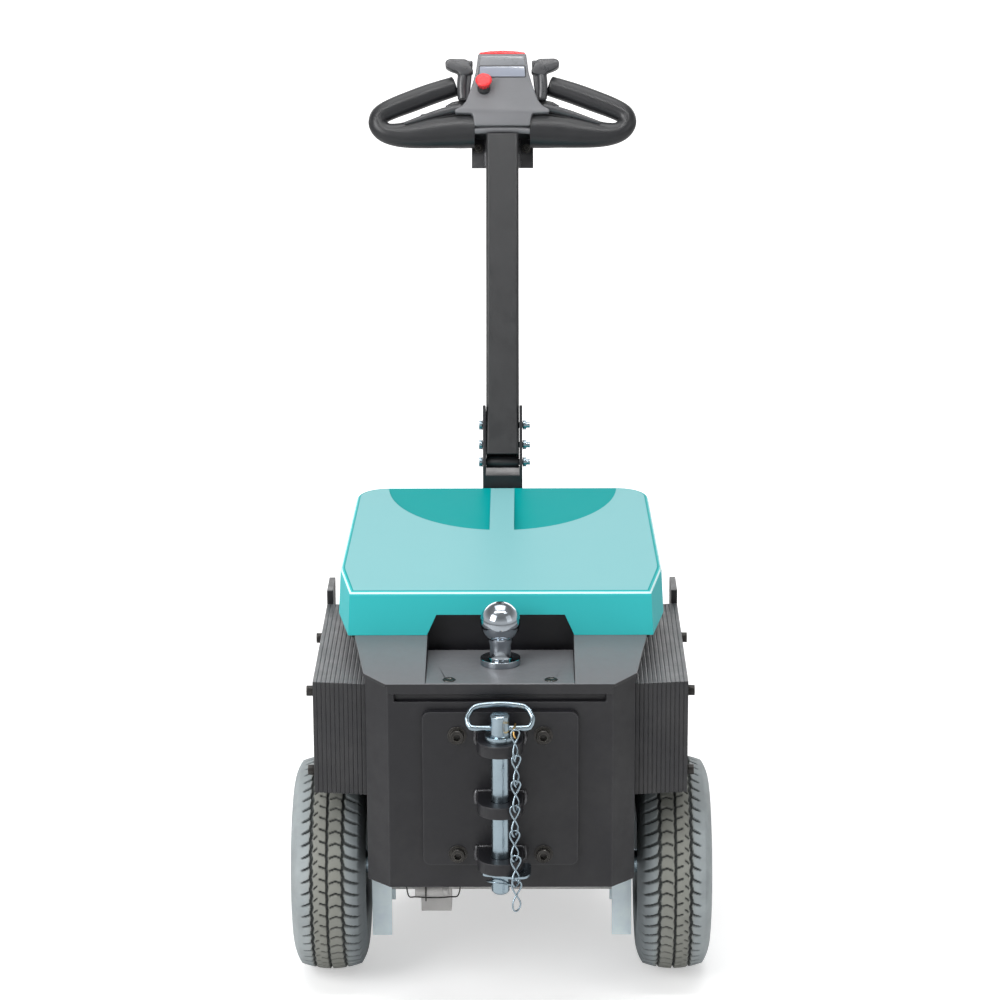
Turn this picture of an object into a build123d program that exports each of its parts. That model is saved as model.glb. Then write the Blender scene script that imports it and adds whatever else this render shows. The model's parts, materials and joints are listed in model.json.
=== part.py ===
"""Walk-behind battery tug: two driven pneumatic wheels, swivel castor, tow ball and tow pin hitch.

Millimetres, +Z up, floor at Z = 0.  The hitch faces -Y, the tiller and the operator are at +Y,
and X = 0 is the plane of symmetry.  The origin is on the floor at the middle of the footprint.
"""
from build123d import *
import math
import os

# ---------------------------------------------------------------- clearances
SEAT = 0.3            # between a loose cover and what it rests on
EAR_GAP = 0.5         # each side, between a pair of ears or legs and what turns between them
RUNNING = 0.05        # radial, a shaft that turns in its bore
BOLT_GAP = 0.3        # radial, a bolt in a plain hole
TYRE_GAP = 6.0        # between a tyre's flank and the box's side
BALLAST_GAP = 6.0     # between a tyre's top and the ballast over it
HOOD_REAR_GAP = 6.0   # between the hood's rear wall and the box's rear wall
CUT = 50.0            # how far a cutting block runs past what it cuts

# ---------------------------------------------------------------- places along Y, from the box's front
BOX_FRONT_Y = -390.0
BALLAST_IN = 42.0
BALL_IN = 76.0
HOOD_IN = 122.0
AXLE_IN = 176.0
BATTERY_IN = 180.0
CASTOR_IN = 476.0
HOOD_LENGTH = 432.0
PIVOT_BACK = 21.0

# ---------------------------------------------------------------- heights, each above the one before
FLOOR_RISE = 37.0         # box floor above the wheels' axle
BOX_HEIGHT = 266.0
DECK_RISE = 21.0
HOOD_FRONT_HEIGHT = 56.0
HOOD_REAR_HEIGHT = 71.0
PIVOT_RISE = 27.0         # tiller pivot above the hood's rear edge

# ---------------------------------------------------------------- chassis box and deck
SHEET = 4.0
BOX_HALF = 165.0
BOX_CHAMFER = 28.0
DECK_LIP = 13.4
DECK_LIP_PROUD = 2.0
SLOT_HEIGHT = 10.0
SLOT_HALF = 129.0
POCKET_HALF = 94.0
POCKET_LENGTH = 146.0
POCKET_WALL = 3.0
POCKET_RISE = 29.0
TRAY_LENGTH = 128.0
TRAY_THICK = 6.0
HATCH_HALF = 150.0
HATCH_MARGIN = 30.0

# ---------------------------------------------------------------- hood
HOOD_WALL = 3.5
HOOD_FRONT_HALF = 190.0
HOOD_MID_HALF = 207.0
HOOD_MID_IN = 95.0
HOOD_REAR_HALF = 200.0
HOOD_FRONT_CORNER = 8.0
HOOD_MID_BLEND = 90.0
HOOD_REAR_CORNER = 45.0
HOOD_DRAFT = 3.0
NOTCH_HALF_LOW = 92.0
NOTCH_HALF_HIGH = 80.0
NOTCH_HEIGHT = 26.5
HOOD_EDGE = 6.0
SCOOP_HALF = 155.0
SCOOP_LENGTH = 188.0
SCOOP_DEPTH = 10.0
RIB_HALF = 16.0

# ---------------------------------------------------------------- tow ball
BALL_R = 25.0
BALL_RISE = 54.0
NECK_R = 13.5
BALL_FLANGE_R = 25.0
BALL_FLANGE_T = 8.0
BALL_FLANGE_EDGE = 1.5
TRAY_SCREW_X = 62.0
TRAY_SCREW_IN = 14.0
TRAY_SCREW_R = 4.0
TRAY_SCREW_HEAD_R = 8.0
TRAY_SCREW_LENGTH = 14.0
TRAY_SOCKET_R = 2.6
TRAY_SOCKET_DEPTH = 2.0
TRAY_NUT_R = 6.5
TRAY_NUT_T = 5.0

# ---------------------------------------------------------------- hitch plate, lugs and tow pin
HITCH_HALF = 95.0
HITCH_RISE = 33.0
HITCH_HEIGHT = 199.0
HITCH_T = 8.0
HITCH_CORNER = 9.0
HITCH_SCREW_X = 52.5
HITCH_SCREW_UPS = (14.5, 169.0)
HITCH_SCREW_R = 6.0
HITCH_HEAD_R = 9.0
HITCH_HEAD_H = 9.0
HITCH_SOCKET_R = 5.4
HITCH_SOCKET_DEPTH = 5.4
LUG_T = 15.0
LUG_HALF = 28.0
LUG_REACH = 60.0
LUG_UPS = (175.0, 97.0, 24.0)
PIN_R = 11.0
PIN_TIP_DROP = 32.0
PIN_TIP_CHAMFER = 2.5
PIN_HEAD_CHAMFER = 2.0
PIN_COLLAR_R = 18.5
PIN_COLLAR_T = 7.0
PIN_HEAD_R = 12.0
PIN_HEAD_H = 26.0
HANDLE_WIRE_R = 3.3
HANDLE_WIDTH = 74.0
HANDLE_RISE = 31.0
HANDLE_LEAN = 40.0
HANDLE_CORNER = 9.0
HANDLE_DROP = 11.0
CLIP_T = 3.0
CLIP_LENGTH = 59.0
CLIP_DEPTH = 44.0
CLIP_MIDDLE_X = 7.5
CLIP_HOLE_R = 2.8
CLIP_LIP = 1.4
CHAIN_WIRE_R = 1.1
CHAIN_SLACK = 0.2
CHAIN_LINK = 20.0
CHAIN_WIDTH = 7.4
CHAIN_FLAT = 0.05
CHAIN_LINKS = 12
CHAIN_X = 18.5
CHAIN_FALL = 12.0

# ---------------------------------------------------------------- ballast
PLATES = 12
PLATE_T = 5.5
PLATE_STEP_Y = 0.7
PLATE_EDGE = 0.8
BALLAST_LENGTH = 314.0
BALLAST_HEIGHT = 145.0
BALLAST_BOLT_R = 6.5
BALLAST_BOLT_H = 8.5
BALLAST_BOLT_FRONT = 16.0
BALLAST_BOLT_REAR = 222.0
BALLAST_BOLT_LOW = 24.0
BALLAST_BOLT_HIGH = 128.0
EAR_T = 8.0
EAR_LENGTH = 60.0
EAR_RISE = 18.0
EAR_WEB = 49.0

# ---------------------------------------------------------------- drive wheels
TYRE_R = 137.0
TYRE_W = 100.0
TREAD_HALF = 38.0
TREAD_DROP = 7.0
BEAD_R = 52.0
BEAD_HALF = 30.0
GROOVE_X = 19.5
GROOVE_W = 4.0
GROOVE_D = 5.0
RIM_FLANGE_R = 60.0
RIM_T = 4.0
HUB_R = 24.0
HUB_HALF = 34.0
DISC_T = 6.0
AXLE_R = 10.0
NUT_R = 15.0
NUT_T = 10.0
RIM_BOLT_CIRCLE_R = 37.0
RIM_BOLT_R = 5.0
RIM_BOLTS = 4

# ---------------------------------------------------------------- drive unit under the box
BRACKET_W = 25.0
BRACKET_T = 5.0
BRACKET_LENGTH = 120.0
BRACKET_HEIGHT = 114.0
AXLE_COLLAR_R = 15.0
AXLE_END = 4.0
MOTOR_R = 36.0
MOTOR_IN = 12.0
BRAKE_IN = 56.0
BRAKE_DROP = 26.0
BRAKE_W = 39.0
BRAKE_LENGTH = 34.0
BATTERY_SIDE_GAP = 21.0
BATTERY_LENGTH = 190.0
BATTERY_HEIGHT = 190.0

# ---------------------------------------------------------------- castor
CASTOR_R = 62.5
CASTOR_W = 34.0
CASTOR_TYRE_T = 16.0
CASTOR_CROWN = 5.0
CASTOR_TRAIL = 38.0
CASTOR_PLATE_X = 105.0
CASTOR_PLATE_Y = 85.0
CASTOR_PLATE_T = 5.0
CASTOR_PLATE_CORNER = 6.0
RACE_R = 27.0
RACE_T = 14.0
KING_PIN_R = 6.0
KING_PIN_END = 8.0
FORK_T = 4.0
FORK_W = 40.0
FORK_EYE_R = 13.0
CASTOR_AXLE_R = 6.0
CASTOR_AXLE_END = 6.0
CASTOR_NUT_R = 9.6
CASTOR_NUT_T = 5.0
CASTOR_BOSS_R = 14.0
CASTOR_DISH_IN_R = 20.0
CASTOR_DISH_OUT_R = 36.0
CASTOR_FELLOE_R = 40.0
CASTOR_WEB_HALF = 5.0

# ---------------------------------------------------------------- tiller
TILLER_LEAN = 25.0
TUBE = 45.0
TUBE_WALL = 3.0
TUBE_START = 7.5
TUBE_END = 459.0
TUBE_CORNER = 4.0
TUBE_INNER_CORNER = 1.5
BUSH_R = 8.0
SIDE_PLATE_T = 4.0
SIDE_PLATE_TOP = 74.0
SIDE_PLATE_DEPTH = 58.0
POST_DEPTH = 42.0
POST_DROP = 13.0
POST_LENGTH = 216.0
EAR_FOOT = 10.0
CLAMP_LOW_S = 24.0
CLAMP_HIGH_S = 51.5
CLAMP_R = 4.0
CLAMP_HEAD_R = 6.5
CLAMP_HEAD_T = 5.0
CLAMP_END = 5.0
TILT = 15.0

# ---------------------------------------------------------------- tiller head, with S up the tiller
HEAD_LOW_S = 461.0
HEAD_ARM_S = 496.0
HEAD_TOP_S = 582.0
HEAD_HALF = 43.0
HEAD_WIDE_HALF = 52.0
HEAD_TOP_HALF = 34.0
HEAD_CORNER = 8.0
HEAD_EDGE = 4.0
HEAD_FRONT = 22.0
HEAD_BACK = 30.0
HEAD_PLATE_T = 5.0
HEAD_PLATE_LOW_S = 417.0
GRIP_R = 13.5
LOOP_HALF = 185.0
ARM_ROOT_X = 36.0
ARM_ROOT_S = 469.0
ARM_ROOT_UP = 22.5
ARM_ROOT_BACK = 17.0
ARM_KNEE_X = 120.0
LOOP_LOW_S = 457.0
GRIP_OUT_S = 524.0
GRIP_IN_S = 530.5
GRIP_IN_X = 66.5
LOOP_END_R = 30.0
LEVER_T = 20.0
LEVER_SINK = 4.0
LEVER_ROOT_IN = 6.0
LEVER_ROOT_UP = 14.0
LEVER_NECK_X = 63.0
LEVER_HOOK_X = 80.0
LEVER_HOOK_T = 12.0
LEVER_HOOK_RISE = 26.0
LEVER_CLEAR = 1.0     # between a lever and the inner end of its grip
STOP_R = 11.5
STOP_X = -25.0
STOP_S = 541.0
STOP_NECK_R = 7.5
STOP_NECK_H = 10.0
STOP_HEAD_H = 8.0
DISPLAY_W = 62.0
DISPLAY_H = 16.0
DISPLAY_S = 558.5
DISPLAY_T = 1.0
BUMPER_T = 7.0
BUMPER_IN = 3.0
BUMPER_TAPER = 4.0

# ---------------------------------------------------------------- worked out from the above
BALL_Y = BOX_FRONT_Y + BALL_IN
BALLAST_FRONT_Y = BOX_FRONT_Y + BALLAST_IN
AXLE_Y = BOX_FRONT_Y + AXLE_IN
CASTOR_Y = BOX_FRONT_Y + CASTOR_IN
CASTOR_WHEEL_Y = CASTOR_Y + CASTOR_TRAIL
HOOD_FRONT_Y = BOX_FRONT_Y + HOOD_IN
HOOD_MID_Y = HOOD_FRONT_Y + HOOD_MID_IN
HOOD_REAR_Y = HOOD_FRONT_Y + HOOD_LENGTH
BODY_REAR_Y = HOOD_REAR_Y + HOOD_REAR_GAP
PIVOT_Y = BODY_REAR_Y + PIVOT_BACK
BOX_FLOOR_Z = TYRE_R + FLOOR_RISE
DECK_Z = BOX_FLOOR_Z + BOX_HEIGHT
HOOD_SEAT_Z = DECK_Z + DECK_RISE
HOOD_FRONT_TOP_Z = HOOD_SEAT_Z + HOOD_FRONT_HEIGHT
HOOD_REAR_TOP_Z = HOOD_SEAT_Z + HOOD_REAR_HEIGHT
POCKET_TOP_Z = HOOD_SEAT_Z + POCKET_RISE
TUB_HEIGHT = BOX_HEIGHT + DECK_RISE
BALL_Z = DECK_Z + BALL_RISE
PIVOT_Z = HOOD_REAR_TOP_Z + PIVOT_RISE
POST_TOP_Z = PIVOT_Z - POST_DROP
BALLAST_LOW_Z = 2 * TYRE_R + BALLAST_GAP
BALLAST_TOP_Z = BALLAST_LOW_Z + BALLAST_HEIGHT
BOX_FRONT_HALF = BOX_HALF - BOX_CHAMFER
BALLAST_OUT = BOX_HALF + PLATES * PLATE_T
WHEEL_X = BOX_HALF + TYRE_GAP + TYRE_W / 2
BRACKET_WEB_X = BOX_HALF - BRACKET_T
BRACKET_LOW_Z = BOX_FLOOR_Z - BRACKET_HEIGHT
HITCH_LOW_Z = BOX_FLOOR_Z + HITCH_RISE
HITCH_FACE_Y = BOX_FRONT_Y - HITCH_T
LUG_TOPS = tuple(HITCH_LOW_Z + up for up in LUG_UPS)
LUG_FOOT_Z = LUG_TOPS[-1] - LUG_T
PIN_Y = HITCH_FACE_Y - LUG_REACH + LUG_HALF
PIN_TIP_Z = LUG_FOOT_Z - PIN_TIP_DROP
PIN_COLLAR_TOP_Z = LUG_TOPS[0] + PIN_COLLAR_T
HANDLE_Z = PIN_COLLAR_TOP_Z + HANDLE_DROP
HANG_Y = PIN_Y - math.sqrt(LUG_HALF ** 2 - CHAIN_X ** 2) - CHAIN_WIDTH / 2 - 2 * CHAIN_WIRE_R
RACE_TOP_Z = BOX_FLOOR_Z - CASTOR_PLATE_T
CROWN_TOP_Z = RACE_TOP_Z - RACE_T - EAR_GAP
FORK_HALF = CASTOR_W / 2 + 2 * EAR_GAP + FORK_T
EAR_IN = TUBE / 2 + EAR_GAP
EAR_FACE = EAR_IN + SIDE_PLATE_T
TILLER = Plane(origin=(0, PIVOT_Y, PIVOT_Z), x_dir=(1, 0, 0),
               z_dir=(0, math.sin(math.radians(TILLER_LEAN)), math.cos(math.radians(TILLER_LEAN))))
TILLER_FACE = Plane(origin=TILLER.origin, x_dir=(1, 0, 0), z_dir=-TILLER.y_dir)
SIDES = (("left", -1), ("right", 1))


def tiller_point(x, back, s):
    """A point in the tiller's own frame: across, back from its middle plane, and up the tube."""
    return TILLER.from_local_coords(Vector(x, back, s))


# ---------------------------------------------------------------- chassis
def box_outline(inset):
    """Plan of the chassis box: flat front, 45 degree corners, straight sides, flat rear."""
    front = BOX_FRONT_Y + inset
    rear = BODY_REAR_Y - inset
    half = BOX_HALF - inset
    nose = BOX_FRONT_HALF - inset * math.tan(math.radians(22.5))
    corner = front + half - nose
    with BuildSketch() as plan:
        with BuildLine():
            Polyline((-nose, front), (nose, front), (half, corner), (half, rear),
                     (-half, rear), (-half, corner), close=True)
        make_face()
    return plan.sketch


def above_deck(lift):
    """Side profile of the space above the deck: it slopes up to the hood, then runs level."""
    front = BOX_FRONT_Y - CUT
    rear = BODY_REAR_Y + CUT
    high = HOOD_SEAT_Z + 2 * CUT
    with BuildSketch(Plane.YZ) as side:
        with BuildLine():
            Polyline((front, DECK_Z + lift), (BOX_FRONT_Y, DECK_Z + lift),
                     (HOOD_FRONT_Y, HOOD_SEAT_Z + lift), (rear, HOOD_SEAT_Z + lift),
                     (rear, high), (front, high), close=True)
        make_face()
    return side.sketch


def chassis_box():
    """Open-topped tub of folded sheet, with a slot across its front under the deck's lip."""
    with BuildPart() as box:
        with BuildSketch(Plane.XY.offset(BOX_FLOOR_Z)):
            add(box_outline(0.0))
        extrude(amount=TUB_HEIGHT)
        with BuildSketch(Plane.XY.offset(BOX_FLOOR_Z + SHEET)):
            add(box_outline(SHEET))
        extrude(amount=TUB_HEIGHT, mode=Mode.SUBTRACT)
        extrude(above_deck(-SHEET), amount=2 * BOX_HALF, both=True, mode=Mode.SUBTRACT)
        with BuildSketch(Plane.XZ.offset(-BOX_FRONT_Y)):
            with Locations((0, DECK_Z - DECK_LIP)):
                Rectangle(2 * SLOT_HALF, SLOT_HEIGHT, align=(Align.CENTER, Align.MAX))
        extrude(amount=2 * SHEET, both=True, mode=Mode.SUBTRACT)
        with BuildSketch(Plane.XY.offset(DECK_Z - TRAY_THICK)):
            with Locations((0, BOX_FRONT_Y)):
                Rectangle(2 * POCKET_HALF, POCKET_LENGTH, align=(Align.CENTER, Align.MIN))
        extrude(amount=TUB_HEIGHT, mode=Mode.SUBTRACT)
    return box


def deck_plan(inset):
    """Plan of the deck: the box's nose, flaring out to the hood's edge, less an inset."""
    front = BOX_FRONT_Y - DECK_LIP_PROUD + inset
    nose = BOX_FRONT_HALF + DECK_LIP_PROUD - inset
    half = BOX_HALF + DECK_LIP_PROUD - inset
    corner = front + half - nose
    neck = HOOD_FRONT_HALF - HOOD_FRONT_CORNER - inset
    with BuildSketch() as plan:
        with BuildLine():
            Polyline((-nose, front), (nose, front), (half, corner), (neck, HOOD_FRONT_Y),
                     (neck, HOOD_MID_Y), (-neck, HOOD_MID_Y), (-neck, HOOD_FRONT_Y),
                     (-half, corner), close=True)
        make_face()
        add(hood_outline(SHEET + inset))
        with Locations((0, BODY_REAR_Y - inset)):
            Rectangle(2 * BOX_HALF, HATCH_MARGIN, align=(Align.CENTER, Align.MAX))
    return plan.sketch


def above_cheek():
    """Side profile of the space above the cheeks and in front of the pocket's raised walls."""
    front = BOX_FRONT_Y - CUT
    wall_y = HOOD_FRONT_Y + 2 * HOOD_WALL
    with BuildSketch(Plane.YZ) as side:
        with BuildLine():
            Polyline((front, DECK_Z), (BOX_FRONT_Y, DECK_Z), (HOOD_FRONT_Y, HOOD_SEAT_Z),
                     (wall_y, HOOD_SEAT_Z), (wall_y, POCKET_TOP_Z + CUT), (front, POCKET_TOP_Z + CUT),
                     close=True)
        make_face()
    return side.sketch


def deck_underside():
    """Everything below the deck's sheet, to cut the deck down to its thickness."""
    with BuildPart() as below:
        with BuildSketch(Plane.XY.offset(DECK_Z - 2 * SHEET)):
            add(deck_plan(-SHEET))
        extrude(amount=DECK_RISE + SHEET)
        extrude(above_deck(-SHEET), amount=2 * HOOD_MID_HALF, both=True, mode=Mode.SUBTRACT)
    return below.part


def pocket_walls():
    """Side and rear walls of the ball's pocket, cut down to the cheeks in front of the hood."""
    with BuildPart() as walls:
        with BuildSketch(Plane.XY.offset(DECK_Z - TRAY_THICK)):
            with Locations((0, BOX_FRONT_Y)):
                Rectangle(2 * POCKET_HALF, POCKET_LENGTH, align=(Align.CENTER, Align.MIN))
                Rectangle(2 * (POCKET_HALF - POCKET_WALL), POCKET_LENGTH - POCKET_WALL,
                          align=(Align.CENTER, Align.MIN), mode=Mode.SUBTRACT)
        extrude(amount=POCKET_TOP_Z - DECK_Z + TRAY_THICK)
        extrude(above_cheek(), amount=2 * POCKET_HALF, both=True, mode=Mode.SUBTRACT)
    return walls.part


def top_deck():
    """Cheeks that rise to the hood, the rim the hood sits on, the front lip and the ball's pocket."""
    hatch_front_y = BOX_FRONT_Y + POCKET_LENGTH + HATCH_MARGIN
    with BuildPart() as deck:
        with BuildSketch(Plane.XY.offset(DECK_Z - SHEET)):
            add(deck_plan(0.0))
        extrude(amount=DECK_RISE + SHEET)
        extrude(above_deck(0.0), amount=2 * HOOD_MID_HALF, both=True, mode=Mode.SUBTRACT)
        add(deck_underside(), mode=Mode.SUBTRACT)
        with BuildSketch(Plane.XY.offset(DECK_Z - DECK_LIP)):
            with Locations((0, BOX_FRONT_Y - DECK_LIP_PROUD)):
                Rectangle(2 * BOX_FRONT_HALF, DECK_LIP_PROUD, align=(Align.CENTER, Align.MIN))
        extrude(amount=DECK_LIP)
        with BuildSketch(Plane.XY.offset(DECK_Z - TRAY_THICK)):
            with Locations((0, BOX_FRONT_Y)):
                Rectangle(2 * POCKET_HALF, POCKET_LENGTH, align=(Align.CENTER, Align.MIN))
            with Locations((0, hatch_front_y)):
                Rectangle(2 * HATCH_HALF, BODY_REAR_Y - HATCH_MARGIN - hatch_front_y,
                          align=(Align.CENTER, Align.MIN))
        extrude(amount=TUB_HEIGHT, mode=Mode.SUBTRACT)
        add(pocket_walls())
    return deck


def tray_screw_places(z):
    """Where the two tray screws stand, at a height."""
    return [(x, BOX_FRONT_Y + TRAY_SCREW_IN, z) for x in (-TRAY_SCREW_X, TRAY_SCREW_X)]


def ball_tray():
    """Flat plate between the cheeks that carries the tow ball, with two countersunk screw holes."""
    width = 2 * (POCKET_HALF - POCKET_WALL - SEAT)
    with BuildPart() as tray:
        with BuildSketch(Plane.XY.offset(DECK_Z)):
            with Locations((0, BOX_FRONT_Y)):
                Rectangle(width, TRAY_LENGTH, align=(Align.CENTER, Align.MIN))
        extrude(amount=-TRAY_THICK)
        with Locations(*tray_screw_places(DECK_Z)):
            CounterSinkHole(TRAY_SCREW_R + BOLT_GAP, TRAY_SCREW_HEAD_R + BOLT_GAP)
    return tray


def tray_screws():
    """Two countersunk socket screws through the tray, each with a nut under it."""
    cone = TRAY_SCREW_HEAD_R - TRAY_SCREW_R
    with BuildPart() as screws:
        with Locations(*tray_screw_places(DECK_Z)):
            Cylinder(TRAY_SCREW_R, TRAY_SCREW_LENGTH, align=(Align.CENTER, Align.CENTER, Align.MAX))
            Cone(TRAY_SCREW_R, TRAY_SCREW_HEAD_R, cone, align=(Align.CENTER, Align.CENTER, Align.MAX))
        with BuildSketch(Plane.XY.offset(DECK_Z - TRAY_THICK)):
            with Locations(*tray_screw_places(0.0)):
                RegularPolygon(TRAY_NUT_R, 6)
        extrude(amount=-TRAY_NUT_T)
        with BuildSketch(Plane.XY.offset(DECK_Z)):
            with Locations(*tray_screw_places(0.0)):
                RegularPolygon(TRAY_SOCKET_R, 6)
        extrude(amount=-TRAY_SOCKET_DEPTH, mode=Mode.SUBTRACT)
    return screws


def tow_ball():
    """50 mm coupling ball on a waisted neck and a round flange."""
    flange_top = DECK_Z + BALL_FLANGE_T
    with BuildPart() as ball:
        with Locations((0, BALL_Y, BALL_Z)):
            Sphere(BALL_R)
        with Locations((0, BALL_Y, DECK_Z)):
            Cylinder(NECK_R, BALL_RISE, align=(Align.CENTER, Align.CENTER, Align.MIN))
            Cylinder(BALL_FLANGE_R, BALL_FLANGE_T, align=(Align.CENTER, Align.CENTER, Align.MIN))
        round_edges = ball.edges().filter_by(GeomType.CIRCLE)
        rim = [e for e in round_edges.filter_by_position(Axis.Z, flange_top - SEAT, flange_top + SEAT)
               if e.radius > NECK_R + SEAT]
        fillet(rim, BALL_FLANGE_EDGE)
    return ball


def hitch_plate():
    """Rounded plate on the box's front with four screw holes."""
    middle = HITCH_LOW_Z + HITCH_HEIGHT / 2
    with BuildPart() as plate:
        with BuildSketch(Plane.XZ.offset(-BOX_FRONT_Y)):
            with Locations((0, middle)):
                RectangleRounded(2 * HITCH_HALF, HITCH_HEIGHT, HITCH_CORNER)
            with Locations(*hitch_screw_places()):
                Circle(HITCH_SCREW_R + BOLT_GAP, mode=Mode.SUBTRACT)
        extrude(amount=HITCH_T)
    return plate


def hitch_screw_places():
    """Centres of the four hitch plate screws, seen from the front."""
    return [(x, HITCH_LOW_Z + up) for x in (-HITCH_SCREW_X, HITCH_SCREW_X) for up in HITCH_SCREW_UPS]


def hitch_screws():
    """Four socket head screws."""
    with BuildPart() as screws:
        with BuildSketch(Plane.XZ.offset(-HITCH_FACE_Y)):
            with Locations(*hitch_screw_places()):
                Circle(HITCH_HEAD_R)
        extrude(amount=HITCH_HEAD_H)
        with BuildSketch(Plane.XZ.offset(-HITCH_FACE_Y)):
            with Locations(*hitch_screw_places()):
                Circle(HITCH_SCREW_R)
        extrude(amount=-HITCH_T)
        with BuildSketch(Plane.XZ.offset(-HITCH_FACE_Y + HITCH_HEAD_H)):
            with Locations(*hitch_screw_places()):
                RegularPolygon(HITCH_SOCKET_R, 6)
        extrude(amount=-HITCH_SOCKET_DEPTH, mode=Mode.SUBTRACT)
    return screws


def hitch_lugs():
    """Three level lugs with round noses, one above the other, bored for the tow pin."""
    with BuildPart() as lugs:
        for top in LUG_TOPS:
            with BuildSketch(Plane.XY.offset(top - LUG_T)):
                with Locations((0, PIN_Y)):
                    Circle(LUG_HALF)
                    Rectangle(2 * LUG_HALF, HITCH_FACE_Y - PIN_Y, align=(Align.CENTER, Align.MIN))
                    Circle(PIN_R + BOLT_GAP, mode=Mode.SUBTRACT)
            extrude(amount=LUG_T)
    return lugs


def tow_pin():
    """Pin with a collar that rests on the top lug, a cross-bored head and a chamfered tip."""
    base = (Align.CENTER, Align.CENTER, Align.MIN)
    with BuildPart() as pin:
        with Locations((0, PIN_Y, PIN_TIP_Z)):
            Cylinder(PIN_R, PIN_COLLAR_TOP_Z - PIN_TIP_Z, align=base)
        with Locations((0, PIN_Y, LUG_TOPS[0])):
            Cylinder(PIN_COLLAR_R, PIN_COLLAR_T, align=base)
        with Locations((0, PIN_Y, PIN_COLLAR_TOP_Z)):
            Cylinder(PIN_HEAD_R, PIN_HEAD_H, align=base)
        chamfer(pin.faces().sort_by(Axis.Z)[0].edges(), PIN_TIP_CHAMFER)
        chamfer(pin.faces().sort_by(Axis.Z)[-1].edges(), PIN_HEAD_CHAMFER)
        with Locations(Location((0, PIN_Y, HANDLE_Z), (0, 90, 0))):
            Cylinder(HANDLE_WIRE_R + BOLT_GAP, 4 * PIN_HEAD_R, mode=Mode.SUBTRACT)
    return pin


def pin_handle():
    """D of bent wire through the pin's head, leaning back towards the box."""
    lean = math.radians(HANDLE_LEAN)
    low = Plane(origin=(0, PIN_Y, HANDLE_Z), x_dir=(1, 0, 0), z_dir=(0, -math.cos(lean), math.sin(lean)))
    half = HANDLE_WIDTH / 2
    with BuildPart() as handle:
        with BuildLine(low) as path:
            FilletPolyline((-half, 0), (half, 0), (half, HANDLE_RISE), (-half, HANDLE_RISE),
                           close=True, radius=HANDLE_CORNER)
        with BuildSketch(Plane(origin=path.line @ 0.0, z_dir=path.line % 0.0)):
            Circle(HANDLE_WIRE_R)
        sweep()
    return handle


def pin_clip():
    """Flat clip under the bottom lug: it grips the pin's tip and carries the chain's last link."""
    with BuildPart() as clip:
        with BuildSketch(Plane.XY.offset(LUG_FOOT_Z)):
            with Locations((CLIP_MIDDLE_X, HANG_Y - CLIP_LIP)):
                Rectangle(CLIP_LENGTH, CLIP_DEPTH, align=(Align.CENTER, Align.MIN))
            with Locations((0, PIN_Y)):
                Circle(PIN_R + BOLT_GAP, mode=Mode.SUBTRACT)
            with Locations((CHAIN_X, HANG_Y + CLIP_HOLE_R)):
                Circle(CLIP_HOLE_R, mode=Mode.SUBTRACT)
        extrude(amount=-CLIP_T)
    return clip


def chain_link(start, end, width, across):
    """One link of wire: two straight sides and two half-round ends centred on the given points."""
    along = end - start
    half = along.length / 2 + width / 2
    plane = Plane(origin=(start + end) * 0.5, x_dir=across, z_dir=across.cross(along))
    with BuildPart() as link:
        with BuildLine(plane) as path:
            FilletPolyline((-width / 2, -half), (width / 2, -half), (width / 2, half), (-width / 2, half),
                           close=True, radius=width / 2 - CHAIN_FLAT)
        with BuildSketch(Plane(origin=path.line @ 0.0, z_dir=path.line % 0.0)):
            Circle(CHAIN_WIRE_R)
        sweep()
    return link.part


def pin_chain():
    """Links from the handle's bar over the top lug, down in front of the lugs, through the clip."""
    x_dir = Vector(1, 0, 0)
    y_dir = Vector(0, 1, 0)
    z_dir = Vector(0, 0, 1)
    hooked = 2 * CHAIN_WIRE_R + CHAIN_SLACK
    first_width = 2 * (HANDLE_WIRE_R + CHAIN_WIRE_R + CHAIN_SLACK)
    bar = Vector(CHAIN_X, PIN_Y, HANDLE_Z)
    hang = Vector(CHAIN_X, HANG_Y, HANDLE_Z - CHAIN_FALL)
    with BuildPart() as chain:
        add(chain_link(bar, hang, first_width, x_dir.cross(hang - bar).normalized()))
        top = hang - z_dir * (first_width / 2 + CHAIN_WIDTH / 2 - hooked)
        for number in range(CHAIN_LINKS):
            low = top - z_dir * (CHAIN_LINK - CHAIN_WIDTH)
            add(chain_link(top, low, CHAIN_WIDTH, y_dir if number % 2 else x_dir))
            top = low - z_dir * (CHAIN_WIDTH - hooked)
    return chain


# ---------------------------------------------------------------- ballast
def ballast(side):
    """Stack of steel plates on edge, bolted to the box's flank; each plate steps back a little."""
    with BuildPart() as stack:
        for number in range(PLATES):
            x = side * (BOX_HALF + (number + 0.5) * PLATE_T)
            front = BALLAST_FRONT_Y + number * PLATE_STEP_Y
            with BuildPart() as plate:
                with Locations((x, front, BALLAST_LOW_Z)):
                    Box(PLATE_T, BALLAST_LENGTH, BALLAST_HEIGHT, align=(Align.CENTER, Align.MIN, Align.MIN))
                chamfer(plate.edges().filter_by(Axis.Y), PLATE_EDGE)
                chamfer(plate.faces().sort_by(Axis.Y)[0].edges().filter_by(Axis.Z), PLATE_EDGE)
    return stack


def side_bolts(side):
    """Four socket heads on the ballast's outer plate."""
    face_x = side * BALLAST_OUT
    with BuildPart() as bolts:
        for along in (BALLAST_BOLT_FRONT, BALLAST_BOLT_REAR):
            for up in (BALLAST_BOLT_LOW, BALLAST_BOLT_HIGH):
                place = Location((face_x, BALLAST_FRONT_Y + PLATES * PLATE_STEP_Y + along, BALLAST_LOW_Z + up),
                                 (0, 90 * side, 0))
                with Locations(place):
                    Cylinder(BALLAST_BOLT_R, BALLAST_BOLT_H, align=(Align.CENTER, Align.CENTER, Align.MIN))
    return bolts


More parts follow.
